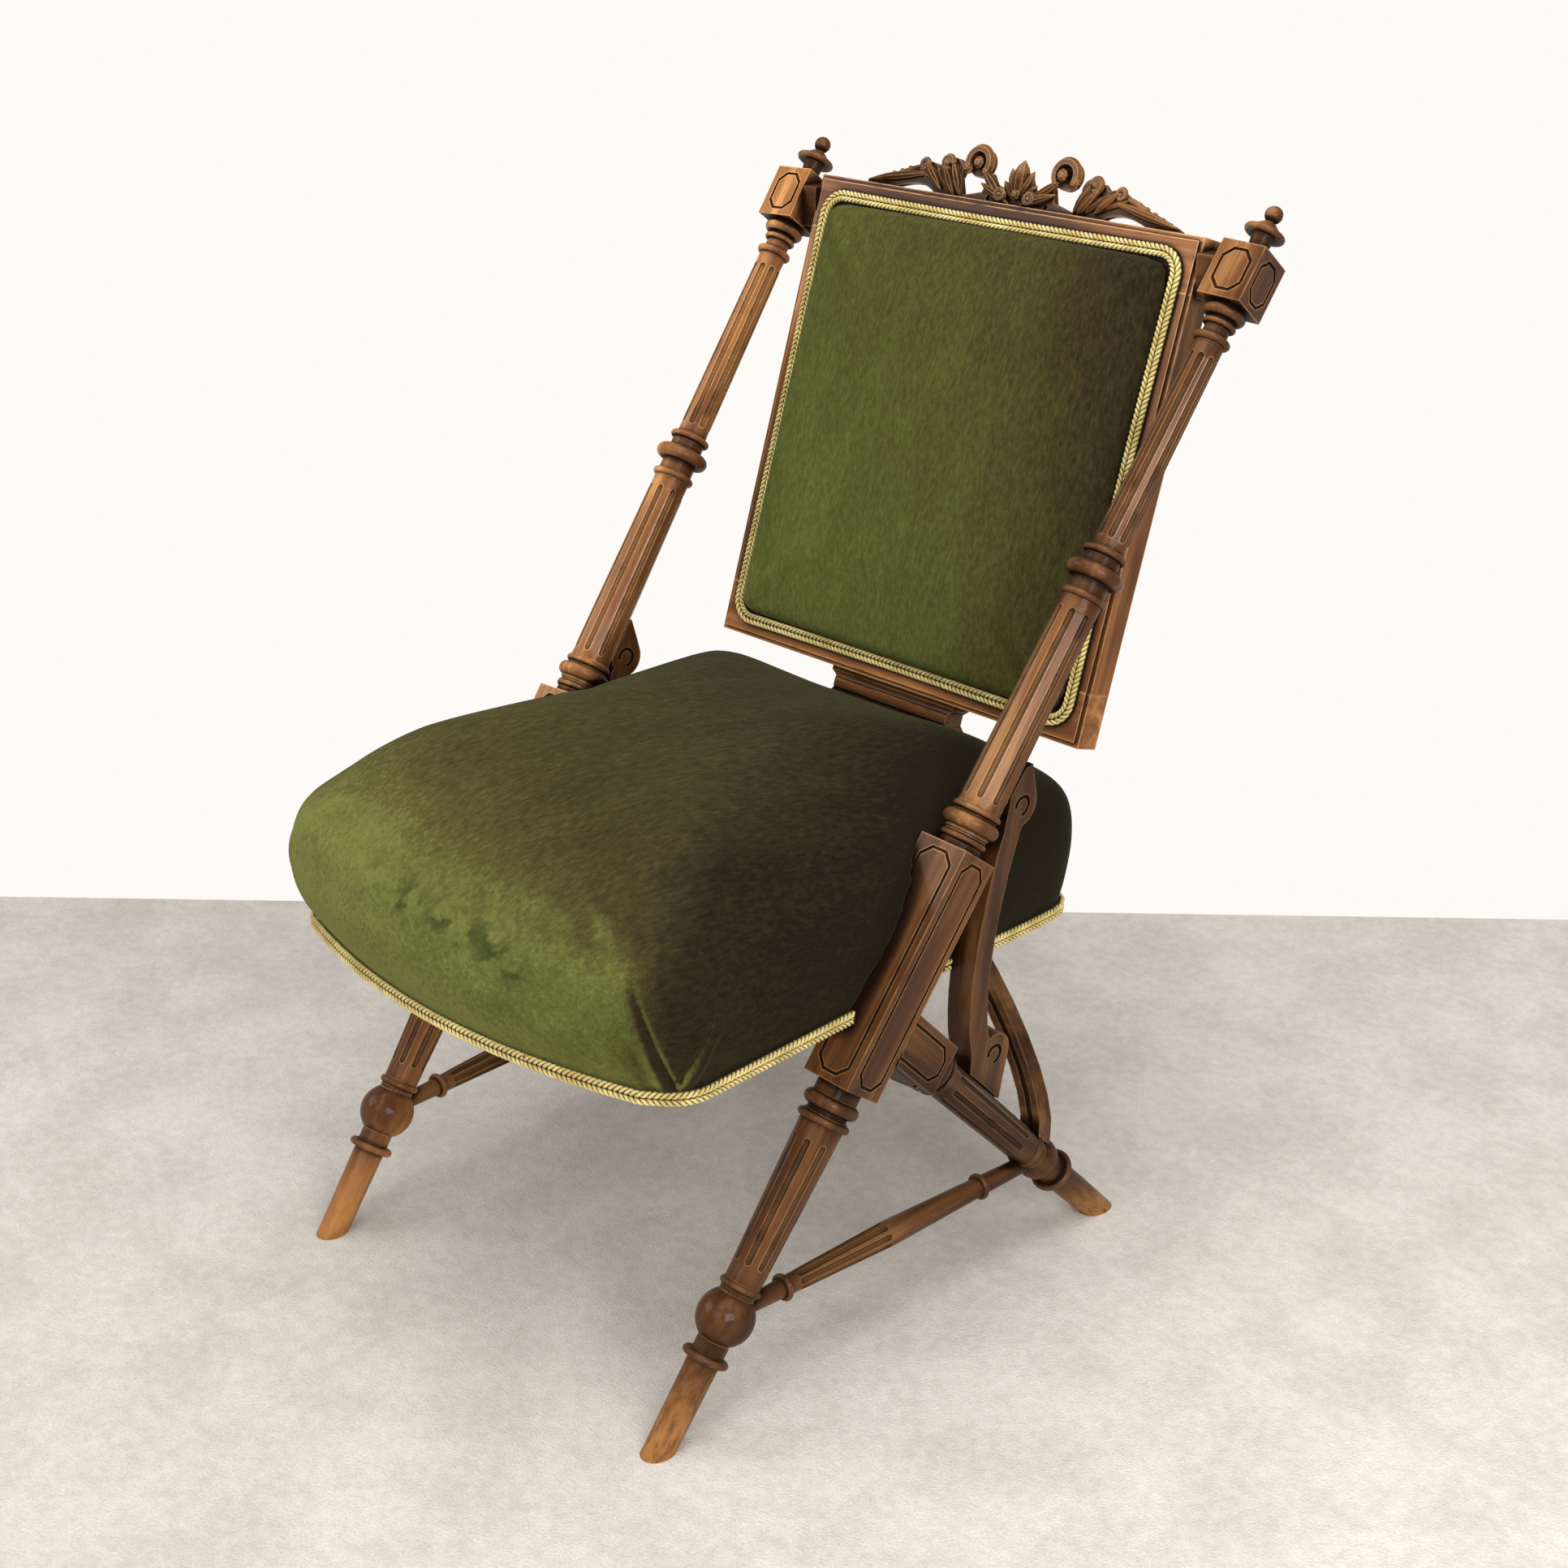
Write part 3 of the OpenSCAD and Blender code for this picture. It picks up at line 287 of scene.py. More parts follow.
def window(name, at, aim, width, height, power):
    lamp = bpy.data.lights.new(name, "AREA")
    lamp.shape = "RECTANGLE"
    lamp.size, lamp.size_y, lamp.energy = width, height, power
    holder = bpy.data.objects.new(name, lamp)
    bpy.context.scene.collection.objects.link(holder)
    holder.location = at
    holder.rotation_euler = (Vector(aim) - Vector(at)).to_track_quat("-Z", "Y").to_euler()


window("left_window", (-2.3, -1.8, 2.0), (0, 0, 0.45), 2.0, 1.6, 34)
window("right_window", (2.5, -1.3, 1.7), (0.1, 0, 0.4), 1.8, 1.4, 62)
window("front_window", (0.4, -2.9, 2.2), (0.1, -0.2, 0.3), 2.0, 1.3, 18)
window("top_light", (0.3, -0.3, 2.9), (0.1, 0, 0.3), 2.4, 2.4, 52)

# Walnut, turned or sawn with the grain along each member, then stained and French
# polished: dark in the hollows with dirt and painted shade, lighter on the edges with wear and a painted
# highlight, and rubbed lighter at the feet.
LEAN, SPLAY, BACK_LEAN = math.radians(36.9), math.radians(2.4), math.radians(17.73)
WALNUT = ((0.0, (0.028, 0.0105, 0.0046)), (0.4, (0.088, 0.0335, 0.0122)),
          (0.75, (0.190, 0.079, 0.0265)), (1.0, (0.370, 0.178, 0.060)))
RUBBED_AND_HIGHLIT_WALNUT, SCUFFED_WALNUT, HOLLOW_DIRT_AND_SHADE = (0.54, 0.270, 0.088), (0.52, 0.230, 0.070), (0.0130, 0.0050, 0.0025)


def walnut(name, grain, tone, worn_below=None, coat=0.36, hollow=0.014):
    """tone is how light it is, and between parts it also carries painted light and shade; worn_below the
    height where a foot is scuffed; hollow how far the dark of dirt and painted shade reaches into hollows.
    """
    finish = Finish(name, Coat_Roughness=0.09, Specular_IOR_Level=0.06)
    grain = Vector(grain).normalized()
    across = grain.orthogonal().normalized()
    through = grain.cross(across)
    a, b, c = finish.along(across), finish.along(through), finish.along(grain)
    wander = finish.noise(finish.vector(a, b, c * 0.25), 14, 2) * 0.02
    long_way = finish.vector(a + wander, b + wander, c * 0.06)
    figure = finish.noise(long_way, 90, 4, 0.6)
    broad = finish.noise(finish.vector(a, b, c * 0.2), 16, 3)
    pores = finish.noise(finish.vector(a, b, c * 0.035), 1400, 1).step(0.60, 0.72)
    share = (figure * 0.45 + broad * 0.95 - 0.20).step(0.24, 0.78)
    stops = [(at, tuple(part * tone for part in stain)) for at, stain in WALNUT]
    colour = finish.node("ShaderNodeValToRGB", {"stops": stops}, {"Fac": share})
    colour = finish.shade(colour, 1 - 0.22 * pores)
    open_air = finish.recess(hollow)
    # Dark in the hollows: dirt, and painted shade where little light reaches.
    colour = finish.mix(open_air.step(0.66, 0.985), HOLLOW_DIRT_AND_SHADE, colour)
    turn = finish.node("ShaderNodeVectorMath", {"operation": "SUBTRACT"}, {
        0: finish.node("ShaderNodeBevel", {"samples": 4}, {"Radius": 0.0018}),
        1: finish.node("ShaderNodeNewGeometry", out="Normal")})
    edges = finish.along((0.577, 0.577, 0.577),
                         finish.node("ShaderNodeVectorMath", {"operation": "ABSOLUTE"}, {0: turn}))
    patches = finish.noise(finish.place, 40, 3).step(0.26, 0.56)
    rub = edges.step(0.06, 0.36) * patches * open_air.step(0.55, 0.9)
    # Edges mixed lighter: wear, and a painted highlight on the ridges.
    colour = finish.mix(rub * 0.75, colour, tuple(part * tone for part in RUBBED_AND_HIGHLIT_WALNUT))
    if worn_below:
        low = finish.along((0, 0, 1)) + 0.05 * (finish.noise(finish.vector(a, b, c * 0.3), 60, 4) - 0.5)
        scuffed = finish.noise(finish.vector(a, b, c * 0.3), 230, 4, 0.7).step(0.22, 0.66)
        colour = finish.mix(low.step(worn_below, 0.0) * (0.15 + 0.7 * scuffed), colour, SCUFFED_WALNUT)
    # Painted light and shade: higher parts lighter, lower parts under the seat darker.
    painted_height_light = finish.along((0, 0, 1)).step(0.10, 0.75)
    finish.set("Base Color", finish.shade(colour, 0.88 + 0.29 * painted_height_light))
    finish.set("Coat Weight", open_air.step(0.5, 1.0) * (0.6 + 0.8 * edges.step(0.02, 0.30)) * coat)
    finish.set("Roughness", 0.36 + 0.16 * figure + 0.15 * pores + 0.2 * (1 - open_air))
    soft_edge = finish.node("ShaderNodeBevel", {"samples": 4}, {"Radius": 0.0008})
    finish.set("Normal", finish.bump(pores * -1 + figure * 0.6, 0.00012, soft_edge))
    return finish


def wood_of(finish, *names):
    for name in names:
        dress(wood[name], finish)


# Each side has one long turned post, raked back from its front foot to the top
# block: ball foot, fluted lower leg, long panelled block, two fluted columns.
# The left post has a lighter tone than the right one: painted light on the left post, painted shade on the
# right.
for side, x, tone in (("left", -1, 1.55), ("right", 1, 0.95)):
    post_way = (x * math.sin(SPLAY) * math.cos(LEAN), math.sin(LEAN), math.cos(SPLAY) * math.cos(LEAN))
    wood_of(walnut("walnut_post_" + side, post_way, tone, worn_below=0.085, coat=0.33), "side_post_" + side)
    wood_of(walnut("walnut_finial_" + side, post_way, 0.85), "finial_" + side)

# The rear legs cross behind the posts and stand wider at the floor. A turned
# stretcher ties each to its front foot, and a flat scrolled bracket to the post.
# The rear legs, stretchers and brackets get dark tones: painted shade under the seat.
for side, x in (("left", -1), ("right", 1)):
    leg_way = (x * 0.018, 0.254, -0.266)
    wood_of(walnut("walnut_leg_" + side, leg_way, 0.62, worn_below=0.05), "rear_leg_" + side)
    wood_of(walnut("walnut_stretcher_" + side, (0.02 * x, 1, 0.0), 0.78), "side_stretcher_" + side)
    wood_of(walnut("walnut_bracket_" + side, (0.04 * x, 0.14, 1), 0.6), "side_bracket_" + side)

# The arch between the rear legs was steamed and bent, and scratched with a groove.
# Its dark tone is painted shade under the seat.
wood_of(walnut("walnut_arch", (1, 0, 0.3), 0.62), "rear_arch")

# Frame of the back: rails across, stiles butted between them, with the carved
# crest glued along the top and a moulded shoe below on the rear seat rail.
upright = (0, math.sin(BACK_LEAN), math.cos(BACK_LEAN))
wood_of(walnut("walnut_rails", (1, 0, 0), 1.6, hollow=0.008), "back_rail_top", "back_rail_bottom")
wood_of(walnut("walnut_stiles", upright, 1.3, hollow=0.008), "back_stile_left", "back_stile_right")
wood_of(walnut("walnut_crest", (1, 0, 0), 0.80, hollow=0.006), "crest")
wood_of(walnut("walnut_shoe", (1, 0, 0), 0.7), "shoe", "back_spacers")

# Bare beech inside: the seat rails, glued corner blocks, dowels and the back's board.
beech = Finish("bare_beech", Roughness=0.62)
side_to_side, to_back, upwards = (beech.along(axis) for axis in ((1, 0, 0), (0, 1, 0), (0, 0, 1)))
sawn = beech.noise(beech.vector(side_to_side, to_back * 0.2, upwards), 120, 4)
ray_fleck = beech.noise(beech.vector(side_to_side * 0.3, to_back, upwards), 700, 1).step(0.62, 0.72)
beech.set("Base Color", beech.shade(beech.mix(sawn.step(0.3, 0.7), (0.36, 0.22, 0.115), (0.50, 0.33, 0.185)),
                                    1 - 0.3 * ray_fleck))
beech.set("Normal", beech.bump(sawn + ray_fleck, 0.0003))
wood_of(beech, "seat_rail_front", "seat_rail_back", "seat_rail_left", "seat_rail_right",
        "seat_corner_blocks", "back_dowels", "back_board")

# Cotton velvet, olive green, with the pile brushed towards the front and left. Its colour carries
# painted light and painted sheen of the pile: bright there, and dark and brownish where the faces turn away.
GREEN = ((0.0, (0.0110, 0.0080, 0.0042)), (0.24, (0.032, 0.0225, 0.0085)), (0.47, (0.056, 0.048, 0.0130)),
         (0.68, (0.076, 0.087, 0.0195)), (0.85, (0.108, 0.124, 0.029)), (1.0, (0.165, 0.174, 0.045)))
BROWN = ((0.0, (0.0110, 0.0080, 0.0042)), (0.28, (0.026, 0.0190, 0.0080)), (0.55, (0.049, 0.0385, 0.0120)),
         (0.8, (0.083, 0.071, 0.0200)), (1.0, (0.150, 0.131, 0.0370)))
PRESSED, LIFTED, CREASE_SHADE = (0.026, 0.034, 0.010), (0.150, 0.155, 0.045), (0.012, 0.014, 0.005)


def velvet(name, streaks, painted_light, width=420, length=0.2, broad=22, patchy=0.34, brown=None, rubs=(), creases=()):
    """The light function paints light, shade and the pile's sheen into the colour, and brown gives where it
    looks brown, both as shares from 0 to 1.
    """
    finish = Finish(name, Sheen_Weight=0.07, Sheen_Roughness=0.4, Sheen_Tint=(0.62, 0.66, 0.28, 1),
                    Specular_IOR_Level=0.08)
    pile_way = Vector(streaks).normalized()
    side_way = pile_way.orthogonal().normalized()
    a, b, c = finish.along(side_way), finish.along(pile_way.cross(side_way)), finish.along(pile_way)
    hairs = finish.noise(finish.vector(a, b, c * length), width, 3, 0.6)
    bands = finish.noise(finish.vector(a, b, c * 0.35), broad, 4, 0.6)
    tufts = finish.noise(finish.place, 1500, 1)
    specks = finish.noise(finish.vector(a, b, c * 0.5), width * 0.55, 4, 0.7)
    # The share of painted light, shade and sheen, with patches and streaks of the pile.
    turned = painted_light(finish) + (bands - 0.5) * patchy + (hairs - 0.5) * 0.50 + (specks - 0.5) * 0.80
    colour = finish.node("ShaderNodeValToRGB", {"stops": GREEN}, {"Fac": turned * 0.85})
    if brown:
        dry = finish.node("ShaderNodeValToRGB", {"stops": BROWN}, {"Fac": turned})
        colour = finish.mix(brown(finish) + (specks - 0.5) * 0.5, colour, dry)
    colour = finish.shade(colour, 0.80 + 0.40 * tufts)
    ruffle = finish.noise(finish.vector(a, b * 1.6, c * 0.8), 52, 2, 0.5) + (hairs - 0.5) * 0.16
    for centre, radius in rubs:
        rub = finish.near(centre, radius * 1.3) * ruffle.step(0.48, 0.62)
        colour = finish.mix(rub * 0.85, colour, PRESSED)
        lifted = finish.near(centre, radius * 1.5) * ruffle.step(0.46, 0.34)
        colour = finish.mix(lifted * 0.5, colour, LIFTED)
    # Painted shade along each fold's groove.
    for start, end in creases:
        away, t = finish.beside(start, end)
        colour = finish.mix(away.step(0.0022, 0.0006) * t.step(0.0, 0.35) * 0.85, colour, CREASE_SHADE)
    finish.set("Base Color", colour)
    finish.set("Roughness", 0.85 + 0.1 * tufts)
    finish.set("Normal", finish.bump(tufts * 0.4 + hairs, 0.0006))
    return finish


def shape_of(piece):
    """The piece's mesh with its modifiers applied."""
    seen_by = bpy.context.evaluated_depsgraph_get()
    return bpy.data.meshes.new_from_object(piece.evaluated_get(seen_by))


def settle(piece):
    piece.data = shape_of(piece)
    piece.modifiers.clear()


def tree_of(*pieces):
    """One search tree over several pieces, at rest in the frame."""
    points, faces = [], []
    for piece in pieces:
        start = len(points)
        points += [v.co.copy() for v in piece.data.vertices]
        faces += [[start + i for i in p.vertices] for p in piece.data.polygons]
    return BVHTree.FromPolygons(points, faces)


def places(piece):
    spots = numpy.empty(3 * len(piece.data.vertices))
    piece.data.vertices.foreach_get("co", spots)
    return spots.reshape(-1, 3)


def outward(piece):
    ways = numpy.empty(3 * len(piece.data.vertices))
    piece.data.vertex_normals.foreach_get("vector", ways)
    return ways.reshape(-1, 3)


def put(piece, spots):
    piece.data.vertices.foreach_set("co", spots.reshape(-1))
    piece.data.update()


def stuffed(name, source, voxel, neighbours, swell, rounds, fuller):
    """A cushion from its solid: rounded off, made fuller, and swollen where nothing holds it."""
    piece = bpy.data.objects.new(name, source.data.copy())
    bpy.context.scene.collection.objects.link(piece)
    remesh = piece.modifiers.new("even", "REMESH")
    remesh.mode = "VOXEL"
    remesh.voxel_size = voxel
    settle(piece)
    held_by = tree_of(*neighbours)
    held, free = piece.vertex_groups.new(name="held"), piece.vertex_groups.new(name="free")
    shares = []
    for v in piece.data.vertices:
        near = held_by.find_nearest(v.co, 0.03)[3]
        share = 1.0 if near is None else min(1.0, max(0.0, (near - 0.003) / 0.012))
        held.add([v.index], 1.0 - share, "REPLACE")
        free.add([v.index], share, "REPLACE")
        shares.append(share)
    shares = numpy.array(shares)[:, None]
    before = places(piece)
    smooth = piece.modifiers.new("round", "SMOOTH")
    smooth.factor, smooth.iterations, smooth.vertex_group = 0.5, rounds, "free"
    settle(piece)
    after, out = places(piece), outward(piece)
    lost = ((before - after) * out).sum(axis=1).mean() + fuller
    put(piece, after + out * shares * lost)
    rest = places(piece)
    cloth = piece.modifiers.new("stuffing", "CLOTH")
    cloth.settings.use_pressure = True
    cloth.settings.uniform_pressure_force = 4.0
    cloth.settings.vertex_group_mass = "held"
    cloth.settings.effector_weights.gravity = 0
    cloth.settings.tension_stiffness = 30
    cloth.collision_settings.use_self_collision = False
    for number in range(1, 21):
        bpy.context.scene.frame_set(number)
    settle(piece)
    bpy.context.scene.frame_set(1)
    move = places(piece) - rest
    size = numpy.linalg.norm(move, axis=1)[:, None]
    put(piece, rest + move * numpy.minimum(1.0, swell / numpy.maximum(size, 1e-9)) * shares)
    piece.data.polygons.foreach_set("use_smooth", [True] * len(piece.data.polygons))
    return piece


# The seat: horsehair and wadding over four springs, under one piece of velvet that
# is pulled down over the rails, rolled at the front and pleated at the two corners.
touching = [wood[n] for n in ("seat_rail_front", "seat_rail_back", "seat_rail_left", "seat_rail_right",
                              "seat_hessian", "side_post_left", "side_post_right", "side_bracket_left",
                              "side_bracket_right", "shoe", "seat_gimp")]
seat = stuffed("seat_cushion", wood["seat_pad"], voxel=0.0045, neighbours=touching, swell=0.004,
               rounds=32, fuller=0.0015)

# Two long shoulders, where the stuffing is fuller than over the seat's middle.
SHOULDER_H = 0.0065
spots, out = places(seat), outward(seat)
side_way, back_way = numpy.abs(spots[:, 0]), spots[:, 1]
shoulder = numpy.clip((side_way - 0.05) / 0.09, 0, 1) * numpy.clip((0.212 - side_way) / 0.03, 0, 1)
shoulder *= numpy.clip((back_way + 0.27) / 0.08, 0, 1) * numpy.clip((0.155 - back_way) / 0.05, 0, 1)
spots[:, 2] += SHOULDER_H * shoulder * numpy.clip(out[:, 2] * 2, 0, 1)
put(seat, spots)
ease = seat.modifiers.new("ease", "SMOOTH")
ease.factor, ease.iterations, ease.vertex_group = 0.5, 6, "free"
settle(seat)
seat_tree = tree_of(seat)
# Two folds at the right front corner, by their ends in the photo. The left side mirrors them.
FOLD_H = 0.0030
corner_folds = (((783, 1236), (829, 1338), 1), ((886, 1226), (838, 1336), -1))
folds = []
for top, foot, lay in corner_folds:
    start, end = seen(*top, seat_tree), seen(*foot, seat_tree)
    if start and end:
        folds += [(start, end, lay), (start * Vector((-1, 1, 1)), end * Vector((-1, 1, 1)), -lay)]


def split_near(piece, lines, reach, rounds):
    """Smaller faces beside a few lines, where the cloth is folded."""
    grid = bmesh.new()
    grid.from_mesh(piece.data)
    for _ in range(rounds):
        chosen = set()
        for edge in grid.edges:
            middle = (edge.verts[0].co + edge.verts[1].co) / 2
            for start, end, _ in lines:
                run = end - start
                t = max(-0.1, min(1.1, (middle - start).dot(run) / run.length_squared))
                if (middle - start - run * t).length < reach:
                    chosen.add(edge)
        bmesh.ops.subdivide_edges(grid, edges=list(chosen), cuts=1, use_grid_fill=True)
        reach *= 0.8
    grid.to_mesh(piece.data)
    grid.free()


split_near(seat, folds, 0.022, 2)
spots, out = places(seat), outward(seat)
for start, end, lay in folds:
    run = numpy.array(end - start)
    long = numpy.linalg.norm(run)
    from_top = spots - numpy.array(start)
    t = from_top @ run / long ** 2
    away = from_top - numpy.clip(t, -0.2, 1.1)[:, None] * run
    across = numpy.cross(run / long, out)
    side = (away * across).sum(axis=1) * lay
    far = numpy.linalg.norm(away, axis=1)
    ends = numpy.clip((t + 0.2) * 1.2, 0, 1) * numpy.clip((1.12 - t) * 6, 0, 1)
    depth = ends * numpy.exp(-(far / 0.020) ** 4)
    lip, groove = (side - 0.0050) / 0.0055, (side + 0.0008) / 0.0022
    rise = FOLD_H * numpy.exp(-lip ** 2) - FOLD_H * numpy.exp(-groove ** 2)
    spots = spots + out * (rise * depth)[:, None]
put(seat, spots)
more = seat.modifiers.new("finer", "SUBSURF")
more.levels = more.render_levels = 1
settle(seat)

# Under the shoe a strip of the same velvet goes down over the rail and is tacked there.
strip_mid, strip_size = Vector((0, 0.1766, 0.3103)), Vector((0.1374, 0.0044, 0.0262))
whole = bmesh.new()
whole.from_mesh(seat.data)
strip = bmesh.ops.create_cube(whole, size=1.0)["verts"]
for corner in strip:
    corner.co = strip_mid + corner.co * strip_size
bmesh.ops.bevel(whole, geom=list({edge for corner in strip for edge in corner.link_edges}), offset=0.0018,
                segments=3, profile=0.5, affect="EDGES")
whole.to_mesh(seat.data)
whole.free()

# Where hands and knees pressed the pile along the front edge, at its places in the photo.
rubs = []
for x, y, radius in ((572, 1139, 0.022), (606, 1166, 0.022), (632, 1192, 0.018), (456, 1086, 0.018),
                     (503, 1110, 0.022), (379, 1047, 0.016), (540, 1128, 0.016)):
    spot = seen(x, y, seat_tree)
    if spot:
        rubs.append((spot, radius))


def seat_painted_light(finish):
    # Painted light, shade and sheen: brighter on the front face, towards the light and low on the front above
    # the braid; darker on the right side and at the rear.
    front = finish.facing((-0.30, -0.95, 0.0)).step(0.18, 0.80)
    right = finish.facing((1, 0.1, 0)).step(0.1, 0.8)
    low = finish.along((0, 0, 1)).step(0.350, 0.295) * front
    rear = finish.along((0, 1, 0)).step(-0.10, 0.14)
    away_from_light = finish.along((0.716, 0.698, 0))
    return 0.36 - away_from_light * 1.05 + 0.44 * front + 0.20 * low - 0.26 * right - 0.18 * rear


def seat_brown(finish):
    # Brown on faces that turn away from the front: worn pile with painted sheen.
    return 1 - finish.facing((-0.30, -0.95, 0.0)).step(0.35, 0.85)


dress(seat, velvet("velvet_seat", (0.25, 1, 0), seat_painted_light, brown=seat_brown, rubs=rubs,
                   creases=[fold[:2] for fold in folds]))
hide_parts("seat_pad")
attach(seat, "root")

# The back: a thinner pad over a board in the frame, drawn tight, with square edges.
behind = [wood[n] for n in ("back_board", "back_gimp", "back_rail_top", "back_rail_bottom",
                            "back_stile_left", "back_stile_right")]
back = stuffed("back_cushion", wood["back_pad"], voxel=0.004, neighbours=behind, swell=0.003,
               rounds=7, fuller=0.0012)


def back_painted_light(finish):
    # Painted light and sheen: lighter to the left, darker upwards and far to the right, with a painted
    # highlight on the rims facing left, front and down.
    left = finish.along((1, 0, 0)) * -1
    height = finish.along((0, 0, 1))
    painted_rim_highlight = finish.facing((-0.8, -0.45, -0.4)).step(0.55, 0.95)
    return 1.25 + left * 0.85 - (left * -1 - 0.06).most(0.0) * 2.6 - height * 0.90 + 0.5 * painted_rim_highlight


dress(back, velvet("velvet_back", upright, back_painted_light, width=520, length=0.22, broad=34, patchy=0.30))
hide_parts("back_pad")
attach(back, "root")

# Outside back: a plain piece of the same velvet over the rear of the frame, with its
# edges turned in and drawn tight. Its flat size includes the turned edges.
HEM, CORNER_R, REAR_FACE, BACK_MID_UP = 0.0028, 0.008, 0.0289, 0.201
BACK_FOOT = Vector((0, 0.456 + FRONT_FEET_Y, 0.421))


def on_back(x, y, z):
    """A point on the back's own plane: across, behind its face and up from its foot."""
    return Vector((x, BACK_FOOT.y + y * math.cos(BACK_LEAN) + z * math.sin(BACK_LEAN),
                   BACK_FOOT.z - y * math.sin(BACK_LEAN) + z * math.cos(BACK_LEAN)))


def grid_faces(rows, columns):
    return [(i * columns + j, i * columns + j + 1, (i + 1) * columns + j + 1, (i + 1) * columns + j)
            for i in range(rows - 1) for j in range(columns - 1)]


def turned_edge(share, half):
    """Along a cut edge of cloth: flat, round the bend, then down to the frame."""
    over = max(0.0, abs(share) - (half - HEM))
    bend = min(over / HEM, math.pi / 2)
    at = half - HEM + HEM * math.sin(bend) if over > 0 else abs(share)
    return math.copysign(at, share), HEM * (1 - math.cos(bend))


half_w, half_h, spread = 0.1868, 0.1888, HEM * math.pi / 2 - HEM
cells = 48
vertices = []
for i in range(2 * cells + 1):
    for j in range(2 * cells + 1):
        z, low_z = turned_edge((i / cells - 1) * (half_h + spread), half_h)
        x, low_x = turned_edge((j / cells - 1) * (half_w + spread), half_w)
        past_x, past_z = max(0.0, abs(x) - half_w + CORNER_R), max(0.0, abs(z) - half_h + CORNER_R)
        corner = min(1.0, math.hypot(past_x, past_z) / CORNER_R)
        pull = 0.0003 * math.sin(x * 210) * math.exp(-(half_h - abs(z)) / 0.02) * (1 - low_z / HEM)
        vertices.append(on_back(x, REAR_FACE - max(low_x, low_z) + pull - 0.0002 * corner, BACK_MID_UP + z))
panel = new_piece("outside_back", vertices, grid_faces(2 * cells + 1, 2 * cells + 1))


def outside_painted_light(finish):
    # Painted light: lighter to the left.
    return 0.45 - finish.along((1, 0, 0)) * 0.5


dress(panel, velvet("velvet_outside", upright, outside_painted_light, width=640, length=0.05))
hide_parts("back_cover")
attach(panel, "root")

# Gold braid glued over the tacks, round the back pad and along the seat's lower
# edge: two cords of two strands each, twisted opposite ways, on a thin tape.
POINT_GAP, CORD_LAY, STRAND_R = 0.0010, 0.0085, 0.00128
gold = Finish("gold_braid", Roughness=0.5, Sheen_Weight=0.3, Sheen_Roughness=0.4)
dull = gold.noise(gold.place, 45, 3)
thread = gold.noise(gold.place, 900, 2)
worn_gold = gold.mix(dull.step(0.35, 0.7), (0.56, 0.42, 0.115), (0.82, 0.67, 0.255))
# Dark between the strands: painted shade.
gold.set("Base Color", gold.mix(gold.recess(0.0022).step(0.34, 0.96), (0.075, 0.050, 0.010), worn_gold))
gold.set("Normal", gold.bump(thread, 0.0004))
tape = Finish("braid_tape", Roughness=0.9)
tape.set("Base Color", tape.mix(tape.noise(tape.place, 500, 2), (0.055, 0.045, 0.012), (0.13, 0.105, 0.030)))
tape.set("Normal", tape.bump(tape.noise(tape.place, 900, 2), 0.0004))


def evened(points, gap):
    """The same path with a point at every gap along it."""
    out, left = [points[0]], gap
    for a, b in zip(points, points[1:]):
        far = (b - a).length
        at = left
        while at <= far:
            out.append(a.lerp(b, at / far))
            at += gap
        left = at - far
    return out


def tube(vertices, faces, points, radius, ring):
    """A round strand along points, added to lists of vertices and faces."""
    base, u = len(vertices), None
    for i, p in enumerate(points):
        way = (points[min(i + 1, len(points) - 1)] - points[max(i - 1, 0)]).normalized()
        u = way.orthogonal().normalized() if u is None else (u - way * u.dot(way)).normalized()
        w = way.cross(u)
        vertices.extend(p + radius * (math.cos(t) * u + math.sin(t) * w)
                        for t in (math.tau * k / ring for k in range(ring)))
    for i in range(len(points) - 1):
        for k in range(ring):
            m = (k + 1) % ring
            faces.append((base + i * ring + k, base + i * ring + m, base + (i + 1) * ring + m,
                          base + (i + 1) * ring + k))
    faces.append(tuple(base + k for k in reversed(range(ring))))
    faces.append(tuple(base + (len(points) - 1) * ring + k for k in range(ring)))


def braid(name, paths, width, node):
    """Twisted cords on a tape. A path is points with the way out and the way across."""
    vertices, faces, tapes = [], [], []
    for path in paths:
        for lane, turn in ((-0.25, 1), (0.25, -1)):
            for strand in (0, math.pi):
                points = []
                for i, (p, out, cross) in enumerate(path):
                    twist = turn * i * POINT_GAP / CORD_LAY * math.tau + strand
                    points.append(p + cross * width * (lane + 0.125 * math.cos(twist))
                                  + out * (0.0010 + 0.0011 * math.sin(twist)))
                tube(vertices, faces, points, STRAND_R, 6)
        base, strands = len(vertices), len(faces)
        for p, out, cross in path:
            edge = cross * width * 0.46
            vertices.extend((p - edge - out * 0.0006, p + edge - out * 0.0006))
        faces.extend((base + 2 * i, base + 2 * i + 1, base + 2 * i + 3, base + 2 * i + 2)
                     for i in range(len(path) - 1))
        tapes.append((strands, len(faces)))
    piece = new_piece(name, vertices, faces)
    dress(piece, gold)
    piece.data.materials.append(tape.material)
    for first, last in tapes:
        for number in range(first, last):
            piece.data.polygons[number].material_index = 1
    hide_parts(node)
    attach(piece, "root")
    return piece


